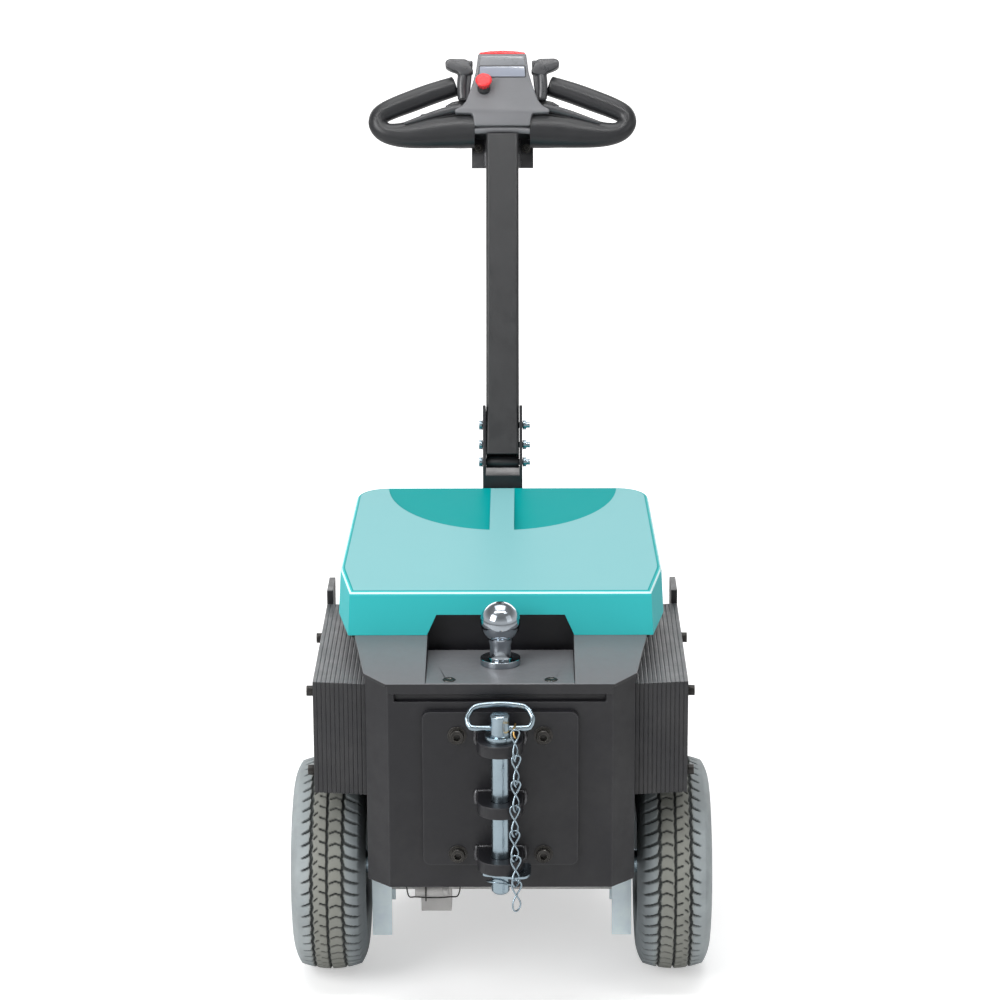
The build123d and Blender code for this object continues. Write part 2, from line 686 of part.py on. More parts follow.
def ear_plate(side):
    """Upright plate at the ballast's rear end, welded to the box by a cross web."""
    rear = BALLAST_FRONT_Y + BALLAST_LENGTH + PLATES * PLATE_STEP_Y
    top = BALLAST_TOP_Z + EAR_RISE
    with BuildPart() as ear:
        with BuildSketch(Plane.YZ.offset(side * BALLAST_OUT)):
            with BuildLine():
                Polyline((rear, BALLAST_LOW_Z), (rear + EAR_LENGTH, BALLAST_LOW_Z + EAR_LENGTH),
                         (rear + EAR_LENGTH, top), (rear, top), close=True)
            make_face()
        extrude(amount=-side * EAR_T)
        with BuildSketch(Plane.XY.offset(BALLAST_LOW_Z + EAR_LENGTH)):
            with Locations((side * BOX_HALF, rear + EAR_LENGTH)):
                Rectangle(BALLAST_OUT - BOX_HALF, EAR_T,
                          align=(Align.MAX if side < 0 else Align.MIN, Align.MAX))
        extrude(amount=EAR_WEB)
    return ear


# ---------------------------------------------------------------- hood
def hood_outline(inset):
    """Plan of the hood: straight front, flanks that flare then draw in, round rear corners."""
    front = HOOD_FRONT_Y + inset
    rear = HOOD_REAR_Y - inset
    with BuildSketch() as plan:
        with BuildLine():
            Polyline((HOOD_FRONT_HALF - inset, front), (HOOD_MID_HALF - inset, HOOD_MID_Y),
                     (HOOD_REAR_HALF - inset, rear), (-HOOD_REAR_HALF + inset, rear),
                     (-HOOD_MID_HALF + inset, HOOD_MID_Y), (-HOOD_FRONT_HALF + inset, front), close=True)
        make_face()
        corners = plan.vertices().group_by(Axis.Y)
        fillet(corners[-1], HOOD_REAR_CORNER - inset)
        fillet(corners[0], HOOD_FRONT_CORNER - inset / 2)
        middle = [v for v in plan.vertices() if abs(v.Y - HOOD_MID_Y) < 0.01]
        fillet(middle, HOOD_MID_BLEND)
    return plan.sketch


def hood_top(inset):
    """Plane of the hood's top, which rises to the rear, lowered by an inset."""
    slope = (HOOD_REAR_TOP_Z - HOOD_FRONT_TOP_Z) / HOOD_LENGTH
    return Plane(origin=(0, HOOD_FRONT_Y, HOOD_FRONT_TOP_Z - inset), z_dir=(0, -slope, 1))


def hood_scoop(inset):
    """Space of the shallow scoop in the hood's rear half; a narrow rib is left standing in it."""
    front = HOOD_REAR_Y - SCOOP_LENGTH - inset
    front_top = hood_top(0.0).to_local_coords(Vector(0, front, 0)).Z
    floor_front = -front_top / hood_top(0.0).z_dir.Z - SCOOP_DEPTH - inset
    with BuildPart() as scoop:
        with BuildSketch(Plane.XY.offset(HOOD_SEAT_Z)):
            with Locations((0, HOOD_REAR_Y)):
                Ellipse(SCOOP_HALF + inset, SCOOP_LENGTH + inset)
                Rectangle(2 * (RIB_HALF - inset), 2 * (SCOOP_LENGTH + CUT), mode=Mode.SUBTRACT)
        extrude(amount=HOOD_REAR_HEIGHT + CUT)
        with BuildSketch(Plane.YZ):
            with BuildLine():
                Polyline((front - CUT, floor_front), (front, floor_front),
                         (HOOD_REAR_Y, HOOD_REAR_TOP_Z - inset),
                         (HOOD_REAR_Y + SCOOP_LENGTH + CUT, HOOD_REAR_TOP_Z - inset),
                         (HOOD_REAR_Y + SCOOP_LENGTH + CUT, HOOD_SEAT_Z - CUT),
                         (front - CUT, HOOD_SEAT_Z - CUT), close=True)
            make_face()
        extrude(amount=SCOOP_HALF + CUT, both=True, mode=Mode.SUBTRACT)
    return scoop.part


def hood_block(inset):
    """Solid form of the hood, less an inset: drafted sides under a top that rises to the rear."""
    with BuildPart() as block:
        with BuildSketch(Plane.XY.offset(HOOD_SEAT_Z + SEAT)):
            add(hood_outline(inset))
        extrude(amount=HOOD_REAR_HEIGHT + HOOD_EDGE, taper=HOOD_DRAFT)
        split(bisect_by=hood_top(inset), keep=Keep.BOTTOM)
        if inset == 0.0:
            fillet(block.faces().sort_by(Axis.Z)[-1].edges(), HOOD_EDGE)
        add(hood_scoop(inset), mode=Mode.SUBTRACT)
    return block.part


def hood():
    """Moulded lift-off cover with a notch in its front wall for the tow ball."""
    with BuildPart() as cover:
        add(hood_block(0.0))
        add(hood_block(HOOD_WALL), mode=Mode.SUBTRACT)
        with BuildSketch(Plane.XZ.offset(-HOOD_FRONT_Y)):
            with BuildLine():
                Polyline((-NOTCH_HALF_LOW, HOOD_SEAT_Z), (NOTCH_HALF_LOW, HOOD_SEAT_Z),
                         (NOTCH_HALF_HIGH, HOOD_SEAT_Z + NOTCH_HEIGHT),
                         (-NOTCH_HALF_HIGH, HOOD_SEAT_Z + NOTCH_HEIGHT), close=True)
            make_face()
        extrude(amount=4 * HOOD_WALL, both=True, mode=Mode.SUBTRACT)
    return cover


# ---------------------------------------------------------------- drive
def tyre(side):
    """Pneumatic tyre section turned about the axle, with three grooves round its tread."""
    half = TYRE_W / 2
    shoulder_r = TYRE_R - TREAD_DROP
    flank_r = (shoulder_r + BEAD_R) / 2
    with BuildPart() as ring:
        with BuildSketch(Plane.XY):
            with BuildLine():
                Polyline((-BEAD_HALF, RIM_FLANGE_R), (-BEAD_HALF, BEAD_R), (BEAD_HALF, BEAD_R),
                         (BEAD_HALF, RIM_FLANGE_R))
                ThreePointArc((BEAD_HALF, RIM_FLANGE_R), (half, flank_r), (TREAD_HALF, shoulder_r))
                ThreePointArc((TREAD_HALF, shoulder_r), (0, TYRE_R), (-TREAD_HALF, shoulder_r))
                ThreePointArc((-TREAD_HALF, shoulder_r), (-half, flank_r), (-BEAD_HALF, RIM_FLANGE_R))
            make_face()
            with Locations((-GROOVE_X, TYRE_R), (0, TYRE_R), (GROOVE_X, TYRE_R)):
                Rectangle(GROOVE_W, 2 * GROOVE_D, mode=Mode.SUBTRACT)
        revolve(axis=Axis.X)
    return moved(ring, side * WHEEL_X, AXLE_Y, TYRE_R)


def moved(piece, x, y, z):
    """The same piece, made about the origin, set down at a place."""
    with BuildPart() as placed:
        with Locations((x, y, z)):
            add(piece.part)
    return placed


def wheel_rim(side):
    """Pressed rim: barrel with two flanges, disc and hub, bored for the axle, with four bolt heads."""
    flange_out = BEAD_HALF + RIM_T
    bore_r = AXLE_R + RUNNING
    with BuildPart() as rim:
        with BuildSketch(Plane.XY):
            with BuildLine():
                Polyline((-flange_out, RIM_FLANGE_R), (-BEAD_HALF, RIM_FLANGE_R), (-BEAD_HALF, BEAD_R),
                         (BEAD_HALF, BEAD_R), (BEAD_HALF, RIM_FLANGE_R), (flange_out, RIM_FLANGE_R),
                         (flange_out, BEAD_R - RIM_T), (-flange_out, BEAD_R - RIM_T), close=True)
            make_face()
            with BuildLine():
                Polyline((-HUB_HALF, bore_r), (-HUB_HALF, HUB_R), (-DISC_T / 2, HUB_R),
                         (-DISC_T / 2, BEAD_R), (DISC_T / 2, BEAD_R), (DISC_T / 2, HUB_R),
                         (HUB_HALF, HUB_R), (HUB_HALF, bore_r), close=True)
            make_face()
        revolve(axis=Axis.X)
        with Locations(Location((side * DISC_T / 2, 0, 0), (0, 90 * side, 0))):
            with PolarLocations(RIM_BOLT_CIRCLE_R, RIM_BOLTS):
                Cylinder(RIM_BOLT_R, RIM_T, align=(Align.CENTER, Align.CENTER, Align.MIN))
    return moved(rim, side * WHEEL_X, AXLE_Y, TYRE_R)


def axle(side):
    """Stub axle from the bracket out through the hub, with a nut on its end."""
    end = WHEEL_X + HUB_HALF + NUT_T + EAR_GAP
    base = (Align.CENTER, Align.CENTER, Align.MIN)
    with BuildPart() as shaft:
        with Locations(Location((side * BRACKET_WEB_X, AXLE_Y, TYRE_R), (0, 90 * side, 0))):
            Cylinder(AXLE_R, end - BRACKET_WEB_X + AXLE_END, align=base)
        with Locations(Location((side * BOX_HALF, AXLE_Y, TYRE_R), (0, 90 * side, 0))):
            Cylinder(AXLE_COLLAR_R, WHEEL_X - HUB_HALF - EAR_GAP - BOX_HALF, align=base)
        with BuildSketch(Plane(origin=(side * (end - NUT_T), AXLE_Y, TYRE_R), z_dir=(side, 0, 0))):
            RegularPolygon(NUT_R, 6)
        extrude(amount=NUT_T)
    return shaft


def axle_bracket(side):
    """Zinc plated channel that hangs from the box's floor, open towards the middle."""
    inward = (Align.MIN if side < 0 else Align.MAX, Align.CENTER)
    with BuildPart() as bracket:
        with BuildSketch(Plane.XY.offset(BRACKET_LOW_Z)):
            with Locations((side * BOX_HALF, AXLE_Y)):
                Rectangle(BRACKET_W, BRACKET_LENGTH, align=inward)
            with Locations((side * BRACKET_WEB_X, AXLE_Y)):
                Rectangle(BRACKET_W, BRACKET_LENGTH - 2 * BRACKET_T, align=inward, mode=Mode.SUBTRACT)
        extrude(amount=BRACKET_HEIGHT)
        with Locations(Location((side * BOX_HALF, AXLE_Y, TYRE_R), (0, 90, 0))):
            Cylinder(AXLE_R, 4 * BRACKET_T, mode=Mode.SUBTRACT)
    return bracket


def drive_motor(side):
    """Gearmotor on the axle's line between the brackets: one plain closed mass."""
    with BuildPart() as motor:
        with Locations(Location((side * MOTOR_IN, AXLE_Y, TYRE_R), (0, 90 * side, 0))):
            Cylinder(MOTOR_R, BRACKET_WEB_X - MOTOR_IN, align=(Align.CENTER, Align.CENTER, Align.MIN))
        if side < 0:
            with Locations((-BRACKET_WEB_X + BRAKE_IN, AXLE_Y, TYRE_R - MOTOR_R - BRAKE_DROP)):
                Box(BRAKE_W, BRAKE_LENGTH, BRAKE_DROP + MOTOR_R / 2, align=(Align.MIN, Align.CENTER, Align.MIN))
    return motor


def battery():
    """Battery pack on the box's floor: one plain closed mass."""
    with BuildPart() as pack:
        with Locations((0, BOX_FRONT_Y + BATTERY_IN, BOX_FLOOR_Z + SHEET)):
            Box(2 * (BOX_HALF - SHEET - BATTERY_SIDE_GAP), BATTERY_LENGTH, BATTERY_HEIGHT,
                align=(Align.CENTER, Align.MIN, Align.MIN))
    return pack


# ---------------------------------------------------------------- castor
def castor_plate():
    """Mounting plate under the box's floor with the fixed half of the swivel race and the king pin."""
    hung = (Align.CENTER, Align.CENTER, Align.MAX)
    with BuildPart() as plate:
        with BuildSketch(Plane.XY.offset(BOX_FLOOR_Z)):
            with Locations((0, CASTOR_Y)):
                RectangleRounded(CASTOR_PLATE_X, CASTOR_PLATE_Y, CASTOR_PLATE_CORNER)
        extrude(amount=-CASTOR_PLATE_T)
        with Locations((0, CASTOR_Y, RACE_TOP_Z)):
            Cylinder(RACE_R, RACE_T, align=hung)
            Cylinder(KING_PIN_R, RACE_T + EAR_GAP + FORK_T + KING_PIN_END, align=hung)
    return plate


def castor_leg():
    """Side profile of one fork leg, from the crown back to the axle."""
    top_half = FORK_W / 2
    with BuildSketch(Plane.YZ) as leg:
        with BuildLine():
            Polyline((CASTOR_Y - top_half, CROWN_TOP_Z), (CASTOR_Y + top_half, CROWN_TOP_Z),
                     (CASTOR_WHEEL_Y + FORK_EYE_R, CASTOR_R), (CASTOR_WHEEL_Y, CASTOR_R - FORK_EYE_R),
                     (CASTOR_WHEEL_Y - FORK_EYE_R, CASTOR_R), close=True)
        make_face()
        with Locations((CASTOR_WHEEL_Y, CASTOR_R)):
            Circle(FORK_EYE_R)
            Circle(CASTOR_AXLE_R, mode=Mode.SUBTRACT)
    return leg.sketch


def castor_fork():
    """Pressed fork: crown with the king pin's hole and two legs that lean back to the axle."""
    with BuildPart() as fork:
        extrude(castor_leg(), amount=FORK_HALF, both=True)
        extrude(castor_leg(), amount=FORK_HALF - FORK_T, both=True, mode=Mode.SUBTRACT)
        with BuildSketch(Plane.XY.offset(CROWN_TOP_Z)):
            with Locations((0, CASTOR_Y)):
                Rectangle(2 * FORK_HALF, FORK_W)
                Circle(KING_PIN_R + RUNNING, mode=Mode.SUBTRACT)
        extrude(amount=-FORK_T)
    return fork


def castor_axle():
    """Axle bolt across the fork's legs."""
    with BuildPart() as bolt:
        with Locations(Location((0, CASTOR_WHEEL_Y, CASTOR_R), (0, 90, 0))):
            Cylinder(CASTOR_AXLE_R, 2 * (FORK_HALF + CASTOR_AXLE_END))
        for side in (-1, 1):
            with Locations(Location((side * FORK_HALF, CASTOR_WHEEL_Y, CASTOR_R), (0, 90 * side, 0))):
                Cylinder(CASTOR_NUT_R, CASTOR_NUT_T, align=(Align.CENTER, Align.CENTER, Align.MIN))
    return bolt


def castor_tyre():
    """Rubber tread of the castor wheel."""
    half = CASTOR_W / 2
    inner = CASTOR_R - CASTOR_TYRE_T
    edge = CASTOR_R - CASTOR_CROWN
    with BuildPart() as ring:
        with BuildSketch(Plane.XY):
            with BuildLine():
                Line((half, inner), (half, edge))
                ThreePointArc((half, edge), (0, CASTOR_R), (-half, edge))
                Polyline((-half, edge), (-half, inner), (half, inner))
            make_face()
        revolve(axis=Axis.X)
    return moved(ring, 0, CASTOR_WHEEL_Y, CASTOR_R)


def castor_hub():
    """Castor wheel centre: boss, dished web and felloe, with its bore."""
    half = CASTOR_W / 2
    bore = CASTOR_AXLE_R + RUNNING
    web = CASTOR_WEB_HALF
    outer = CASTOR_R - CASTOR_TYRE_T
    with BuildPart() as hub:
        with BuildSketch(Plane.XY):
            with BuildLine():
                Polyline((-half, bore), (-half, CASTOR_BOSS_R), (-web, CASTOR_DISH_IN_R),
                         (-web, CASTOR_DISH_OUT_R), (-half, CASTOR_FELLOE_R), (-half, outer), (half, outer),
                         (half, CASTOR_FELLOE_R), (web, CASTOR_DISH_OUT_R), (web, CASTOR_DISH_IN_R),
                         (half, CASTOR_BOSS_R), (half, bore), close=True)
            make_face()
        revolve(axis=Axis.X)
    return moved(hub, 0, CASTOR_WHEEL_Y, CASTOR_R)


# ---------------------------------------------------------------- tiller
def ear_profile():
    """Side profile of the bracket's ears: a foot on the post, then a strap along the tiller."""
    half = SIDE_PLATE_DEPTH / 2
    foot = POST_TOP_Z - EAR_FOOT
    front_top = tiller_point(0, -half, SIDE_PLATE_TOP)
    rear_top = tiller_point(0, half, SIDE_PLATE_TOP)
    rear_low = tiller_point(0, half, 0)
    with BuildSketch(Plane.YZ) as ear:
        with BuildLine():
            Polyline((BODY_REAR_Y, foot), (BODY_REAR_Y + POST_DEPTH, foot), (rear_low.Y, rear_low.Z),
                     (rear_top.Y, rear_top.Z), (front_top.Y, front_top.Z), (BODY_REAR_Y, PIVOT_Z),
                     close=True)
        make_face()
        with Locations((PIVOT_Y, PIVOT_Z)):
            Circle(CLAMP_R + BOLT_GAP, mode=Mode.SUBTRACT)
    return ear.sketch


def clamp_slots():
    """Arc slots in the ears that let the clamp bolts swing with the tiller."""
    start = 90.0 - TILLER_LEAN - TILT
    with BuildPart() as slots:
        for radius in (CLAMP_LOW_S, CLAMP_HIGH_S):
            with BuildLine(mode=Mode.PRIVATE) as arc:
                CenterArc((0, 0), radius, start, 2 * TILT)
            with BuildSketch(Plane.YZ):
                with Locations((PIVOT_Y, PIVOT_Z)):
                    SlotArc(arc.edge(), 2 * (CLAMP_R + BOLT_GAP))
            extrude(amount=EAR_FACE + CUT, both=True)
    return slots.part


def tiller_bracket():
    """Post on the box's rear wall with two ears that clamp the tiller's foot, slotted for tilt."""
    with BuildPart() as bracket:
        with BuildSketch(Plane.XY.offset(POST_TOP_Z - POST_LENGTH)):
            with Locations((0, BODY_REAR_Y)):
                Rectangle(2 * EAR_FACE, POST_DEPTH, align=(Align.CENTER, Align.MIN))
        extrude(amount=POST_LENGTH)
        extrude(ear_profile(), amount=EAR_FACE, both=True)
        with BuildSketch(Plane.XY.offset(POST_TOP_Z)):
            with Locations((0, PIVOT_Y)):
                Rectangle(2 * EAR_IN, 2 * (SIDE_PLATE_TOP + CUT))
        extrude(amount=SIDE_PLATE_TOP + CUT, mode=Mode.SUBTRACT)
        add(clamp_slots(), mode=Mode.SUBTRACT)
    return bracket


def tiller_tube():
    """Square tube with the pivot bush across its foot and holes for the clamp bolts."""
    bore = TUBE - 2 * TUBE_WALL
    with BuildPart() as tube:
        with BuildSketch(TILLER.offset(TUBE_START)):
            RectangleRounded(TUBE, TUBE, TUBE_CORNER)
            RectangleRounded(bore, bore, TUBE_INNER_CORNER, mode=Mode.SUBTRACT)
        extrude(amount=TUBE_END - TUBE_START)
        with Locations(Location(TILLER.origin, (0, 90, 0))):
            Cylinder(BUSH_R, TUBE)
            Cylinder(CLAMP_R, 2 * TUBE, mode=Mode.SUBTRACT)
        for s in (CLAMP_LOW_S, CLAMP_HIGH_S):
            with Locations(Location(tiller_point(0, 0, s), (0, 90, 0))):
                Cylinder(CLAMP_R, 2 * TUBE, mode=Mode.SUBTRACT)
    return tube


def clamp_bolts():
    """Pivot bolt and two clamp bolts: heads on the left, nuts and bolt ends on the right."""
    face = EAR_FACE + EAR_GAP
    base = (Align.CENTER, Align.CENTER, Align.MIN)
    with BuildPart() as bolts:
        for s in (0.0, CLAMP_LOW_S, CLAMP_HIGH_S):
            centre = tiller_point(0, 0, s)
            with Locations(Location(centre + Vector(-face - CLAMP_HEAD_T, 0, 0), (0, 90, 0))):
                Cylinder(CLAMP_R, 2 * (face + CLAMP_HEAD_T) + CLAMP_END, align=base)
                Cylinder(CLAMP_HEAD_R, CLAMP_HEAD_T, align=base)
            with Locations(Location(centre + Vector(face, 0, 0), (0, 90, 0))):
                Cylinder(CLAMP_HEAD_R, CLAMP_HEAD_T, align=base)
    return bolts


# ---------------------------------------------------------------- tiller head
def head_plate():
    """Flat steel plate behind the tube's top that the head is screwed to."""
    with BuildPart() as plate:
        with BuildSketch(TILLER_FACE.offset(-TUBE / 2)):
            with Locations((0, (HEAD_PLATE_LOW_S + HEAD_LOW_S) / 2)):
                Rectangle(2 * HEAD_HALF, HEAD_LOW_S - HEAD_PLATE_LOW_S)
        extrude(amount=-HEAD_PLATE_T)
    return plate


def head_console():
    """Moulded console: narrow at its foot and top, widest where the grips leave it."""
    with BuildPart() as console:
        with BuildSketch(TILLER_FACE.offset(HEAD_FRONT)):
            with BuildLine():
                Polyline((-HEAD_HALF, HEAD_LOW_S), (HEAD_HALF, HEAD_LOW_S), (HEAD_WIDE_HALF, HEAD_ARM_S),
                         (HEAD_TOP_HALF, HEAD_TOP_S), (-HEAD_TOP_HALF, HEAD_TOP_S),
                         (-HEAD_WIDE_HALF, HEAD_ARM_S), close=True)
            make_face()
        extrude(amount=-HEAD_FRONT - HEAD_BACK)
        upright = console.edges().filter_by(Axis(TILLER.origin, TILLER_FACE.z_dir))
        fillet(upright, HEAD_CORNER)
        front = console.faces().filter_by(TILLER_FACE).sort_by(Axis(TILLER.origin, TILLER_FACE.z_dir))[-1]
        fillet(front.edges(), HEAD_EDGE)
    return console


def grip_loop(side):
    """Closed hand guard and grip: tapering arm out from the console, round end, and the grip back in."""
    outer = side * (LOOP_HALF - GRIP_R)
    across = Plane(origin=TILLER.origin, x_dir=TILLER.z_dir, z_dir=(side, 0, 0))
    up = Vector(side * ARM_KNEE_X, LOOP_LOW_S)
    with BuildPart() as loop:
        with BuildSketch(across.offset(ARM_ROOT_X)):
            with Locations((ARM_ROOT_S, 0)):
                Ellipse(ARM_ROOT_UP, ARM_ROOT_BACK)
        with BuildSketch(across.offset(ARM_KNEE_X)):
            with Locations((LOOP_LOW_S, 0)):
                Circle(GRIP_R)
        loft()
        with BuildLine(TILLER_FACE) as path:
            FilletPolyline((up.X, up.Y), (outer, LOOP_LOW_S), (outer, GRIP_OUT_S),
                           (side * GRIP_IN_X, GRIP_IN_S), radius=LOOP_END_R)
        with BuildSketch(Plane(origin=path.line @ 0.0, z_dir=path.line % 0.0)):
            Circle(GRIP_R)
        sweep()
        add(head_console().part, mode=Mode.SUBTRACT)
    return loop


def thumb_lever(side):
    """Butterfly lever beside the console, with a hooked tip."""
    root_s = HEAD_ARM_S + LEVER_ROOT_UP
    hook_s = GRIP_IN_S + LEVER_HOOK_RISE
    hook_top_s = hook_s + LEVER_HOOK_T
    inner = HEAD_WIDE_HALF - LEVER_ROOT_IN
    neck_s = GRIP_IN_S + GRIP_R + LEVER_CLEAR
    with BuildPart() as lever:
        with BuildSketch(TILLER_FACE.offset(HEAD_FRONT - LEVER_SINK)):
            with BuildLine():
                Polyline((side * inner, root_s), (side * LEVER_NECK_X, root_s), (side * LEVER_NECK_X, neck_s),
                         (side * LEVER_HOOK_X, hook_s), (side * LEVER_HOOK_X, hook_top_s),
                         (side * HEAD_WIDE_HALF, hook_top_s), (side * inner, GRIP_IN_S), close=True)
            make_face()
        extrude(amount=-LEVER_T)
        add(head_console().part, mode=Mode.SUBTRACT)
    return lever


def stop_button():
    """Mushroom stop button on a short black collar."""
    with BuildPart() as button:
        with BuildSketch(TILLER_FACE.offset(HEAD_FRONT)):
            with Locations((STOP_X, STOP_S)):
                Circle(STOP_NECK_R)
        extrude(amount=STOP_NECK_H)
        with BuildSketch(TILLER_FACE.offset(HEAD_FRONT + STOP_NECK_H)):
            with Locations((STOP_X, STOP_S)):
                Circle(STOP_R)
        extrude(amount=STOP_HEAD_H)
    return button


def display():
    """Flat display window on the console."""
    with BuildPart() as window:
        with BuildSketch(TILLER_FACE.offset(HEAD_FRONT)):
            with Locations((0, DISPLAY_S)):
                Rectangle(DISPLAY_W, DISPLAY_H)
        extrude(amount=DISPLAY_T)
    return window


def bumper():
    """Red belly switch across the top end of the console."""
    low = HEAD_TOP_HALF - BUMPER_IN
    high = low - BUMPER_TAPER
    with BuildPart() as bar:
        with BuildSketch(TILLER_FACE.offset(HEAD_FRONT - BUMPER_IN)):
            with BuildLine():
                Polyline((-low, HEAD_TOP_S), (low, HEAD_TOP_S), (high, HEAD_TOP_S + BUMPER_T),
                         (-high, HEAD_TOP_S + BUMPER_T), close=True)
            make_face()
        extrude(amount=-HEAD_FRONT - HEAD_BACK + 2 * BUMPER_IN)
    return bar


def main():
    """Build every piece and write one STEP file for each."""
    os.makedirs("parts", exist_ok=True)
    pieces = {
        "chassis_box": chassis_box(),
        "top_deck": top_deck(),
        "ball_tray": ball_tray(),
        "tray_screws": tray_screws(),
        "tow_ball": tow_ball(),
        "hitch_plate": hitch_plate(),
        "hitch_screws": hitch_screws(),
        "hitch_lugs": hitch_lugs(),
        "tow_pin": tow_pin(),
        "pin_handle": pin_handle(),
        "pin_clip": pin_clip(),
        "pin_chain": pin_chain(),
        "hood": hood(),
        "battery": battery(),
        "castor_plate": castor_plate(),
        "castor_fork": castor_fork(),
        "castor_axle": castor_axle(),
        "castor_tyre": castor_tyre(),
        "castor_hub": castor_hub(),
        "tiller_bracket": tiller_bracket(),
        "tiller_tube": tiller_tube(),
        "clamp_bolts": clamp_bolts(),
        "head_plate": head_plate(),
        "head_console": head_console(),
        "stop_button": stop_button(),
        "display": display(),
        "bumper": bumper(),
    }
    for word, side in SIDES:
        pieces[f"ballast_{word}"] = ballast(side)
        pieces[f"ballast_bolts_{word}"] = side_bolts(side)
        pieces[f"ear_plate_{word}"] = ear_plate(side)
        pieces[f"tyre_{word}"] = tyre(side)
        pieces[f"rim_{word}"] = wheel_rim(side)
        pieces[f"axle_{word}"] = axle(side)
        pieces[f"axle_bracket_{word}"] = axle_bracket(side)
        pieces[f"drive_motor_{word}"] = drive_motor(side)
        pieces[f"grip_loop_{word}"] = grip_loop(side)
        pieces[f"thumb_lever_{word}"] = thumb_lever(side)
    for name, piece in pieces.items():
        piece.part.label = name
        export_step(piece.part, f"parts/{name}.step")


main()
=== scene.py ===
"""Dressed model of a walk-behind baggage tug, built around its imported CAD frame."""

import json
import math

import bmesh
import bpy
from mathutils import Matrix, Vector


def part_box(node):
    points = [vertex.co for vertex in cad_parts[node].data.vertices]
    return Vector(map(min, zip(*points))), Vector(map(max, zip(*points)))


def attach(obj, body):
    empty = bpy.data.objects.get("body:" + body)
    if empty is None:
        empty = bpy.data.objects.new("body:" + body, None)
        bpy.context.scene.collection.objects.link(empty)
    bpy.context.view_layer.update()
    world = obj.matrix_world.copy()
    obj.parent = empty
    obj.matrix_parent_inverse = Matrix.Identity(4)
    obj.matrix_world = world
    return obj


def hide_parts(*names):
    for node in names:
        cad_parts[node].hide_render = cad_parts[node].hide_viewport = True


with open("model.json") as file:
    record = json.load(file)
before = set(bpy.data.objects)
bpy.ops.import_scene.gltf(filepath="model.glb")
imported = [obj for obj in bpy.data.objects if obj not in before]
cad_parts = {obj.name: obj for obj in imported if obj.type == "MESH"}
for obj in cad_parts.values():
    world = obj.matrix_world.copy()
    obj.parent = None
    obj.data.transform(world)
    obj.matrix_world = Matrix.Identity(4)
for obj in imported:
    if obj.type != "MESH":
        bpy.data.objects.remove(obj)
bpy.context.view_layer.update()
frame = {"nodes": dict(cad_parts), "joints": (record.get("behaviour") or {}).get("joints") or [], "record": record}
NODES = frame["nodes"]
MM = 0.001


def box(node):
    """A node's lowest and highest corner at rest."""
    low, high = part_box(node)
    return Vector(low), Vector(high)


# ---------------------------------------------------------------- materials
# how far the normal points up on a rounded edge's painted highlight line, and how far the line spreads from there
HIGHLIGHT_UP, HIGHLIGHT_SPREAD = 0.62, 0.17
CHIPS_SCALE = 140.0
RELIEF_DEPTH = 0.0004


def grey(v):
    return (v, v, v, 1.0)


def colour(c):
    return (c[0], c[1], c[2], 1.0)


def node_of(tree, kind, *values, **named):
    """Shader node whose inputs, in order or by name, take a value or another node's output."""
    node = tree.nodes.new("ShaderNode" + kind)
    for key, value in [*enumerate(values), *named.items()]:
        if isinstance(value, bpy.types.NodeSocket):
            tree.links.new(value, node.inputs[key])
        else:
            node.inputs[key].default_value = value
    return node


def maths(tree, operation, *values):
    """Result of one sum on node outputs and plain values."""
    node = node_of(tree, "Math", *values)
    node.operation = operation
    return node.outputs[0]


def spread(tree, value, low, high, to_low=0.0, to_high=1.0):
    """The value stretched from one range onto another."""
    return node_of(tree, "MapRange", value, low, high, to_low, to_high).outputs["Result"]


def noise(tree, place, scale, detail, rough):
    """Cloudy pattern from 0 to 1 through the object's own space."""
    return node_of(tree, "TexNoise", Vector=place, Scale=scale, Detail=detail, Roughness=rough).outputs["Fac"]


def upness(tree):
    """How far the surface's normal points up, from -1 to 1."""
    normal = node_of(tree, "NewGeometry").outputs["Normal"]
    return node_of(tree, "SeparateXYZ", normal).outputs["Z"]


def blended(tree, shade, other, share):
    """A shade with another colour laid over it, by a share that a node gives."""
    mix = node_of(tree, "Mix")
    mix.data_type = "RGBA"
    under, over = [s for s in mix.inputs if s.type == "RGBA"]
    over.default_value = colour(other)
    tree.links.new(shade, under)
    tree.links.new(share, mix.inputs[0])
    return [s for s in mix.outputs if s.type == "RGBA"][0]


def drifting(tree, place, base, spot, scale):
    """The base colour, drifting between a darker and a lighter shade."""
    ramp = node_of(tree, "ValToRGB", noise(tree, place, scale, 5.0, 0.6))
    dark, light = ramp.color_ramp.elements
    dark.position, light.position = 0.32, 0.68
    dark.color = colour([c * (1 - spot) for c in base])
    light.color = colour([min(1.0, c * (1 + spot) + 0.004 * spot) for c in base])
    return ramp.outputs["Color"]


def worn_edges(tree, place, radius, limits, amount):
    """Share of bare, chipped material: large where an edge turns within the radius."""
    turned = node_of(tree, "VectorMath", node_of(tree, "Bevel", Radius=radius).outputs["Normal"],
                     node_of(tree, "NewGeometry").outputs["Normal"])
    turned.operation = "DOT_PRODUCT"
    gap = maths(tree, "SUBTRACT", 1.0, turned.outputs["Value"])
    chips = noise(tree, place, CHIPS_SCALE, 4.0, 0.7)
    return spread(tree, maths(tree, "MULTIPLY", gap, chips), *limits, to_high=amount)


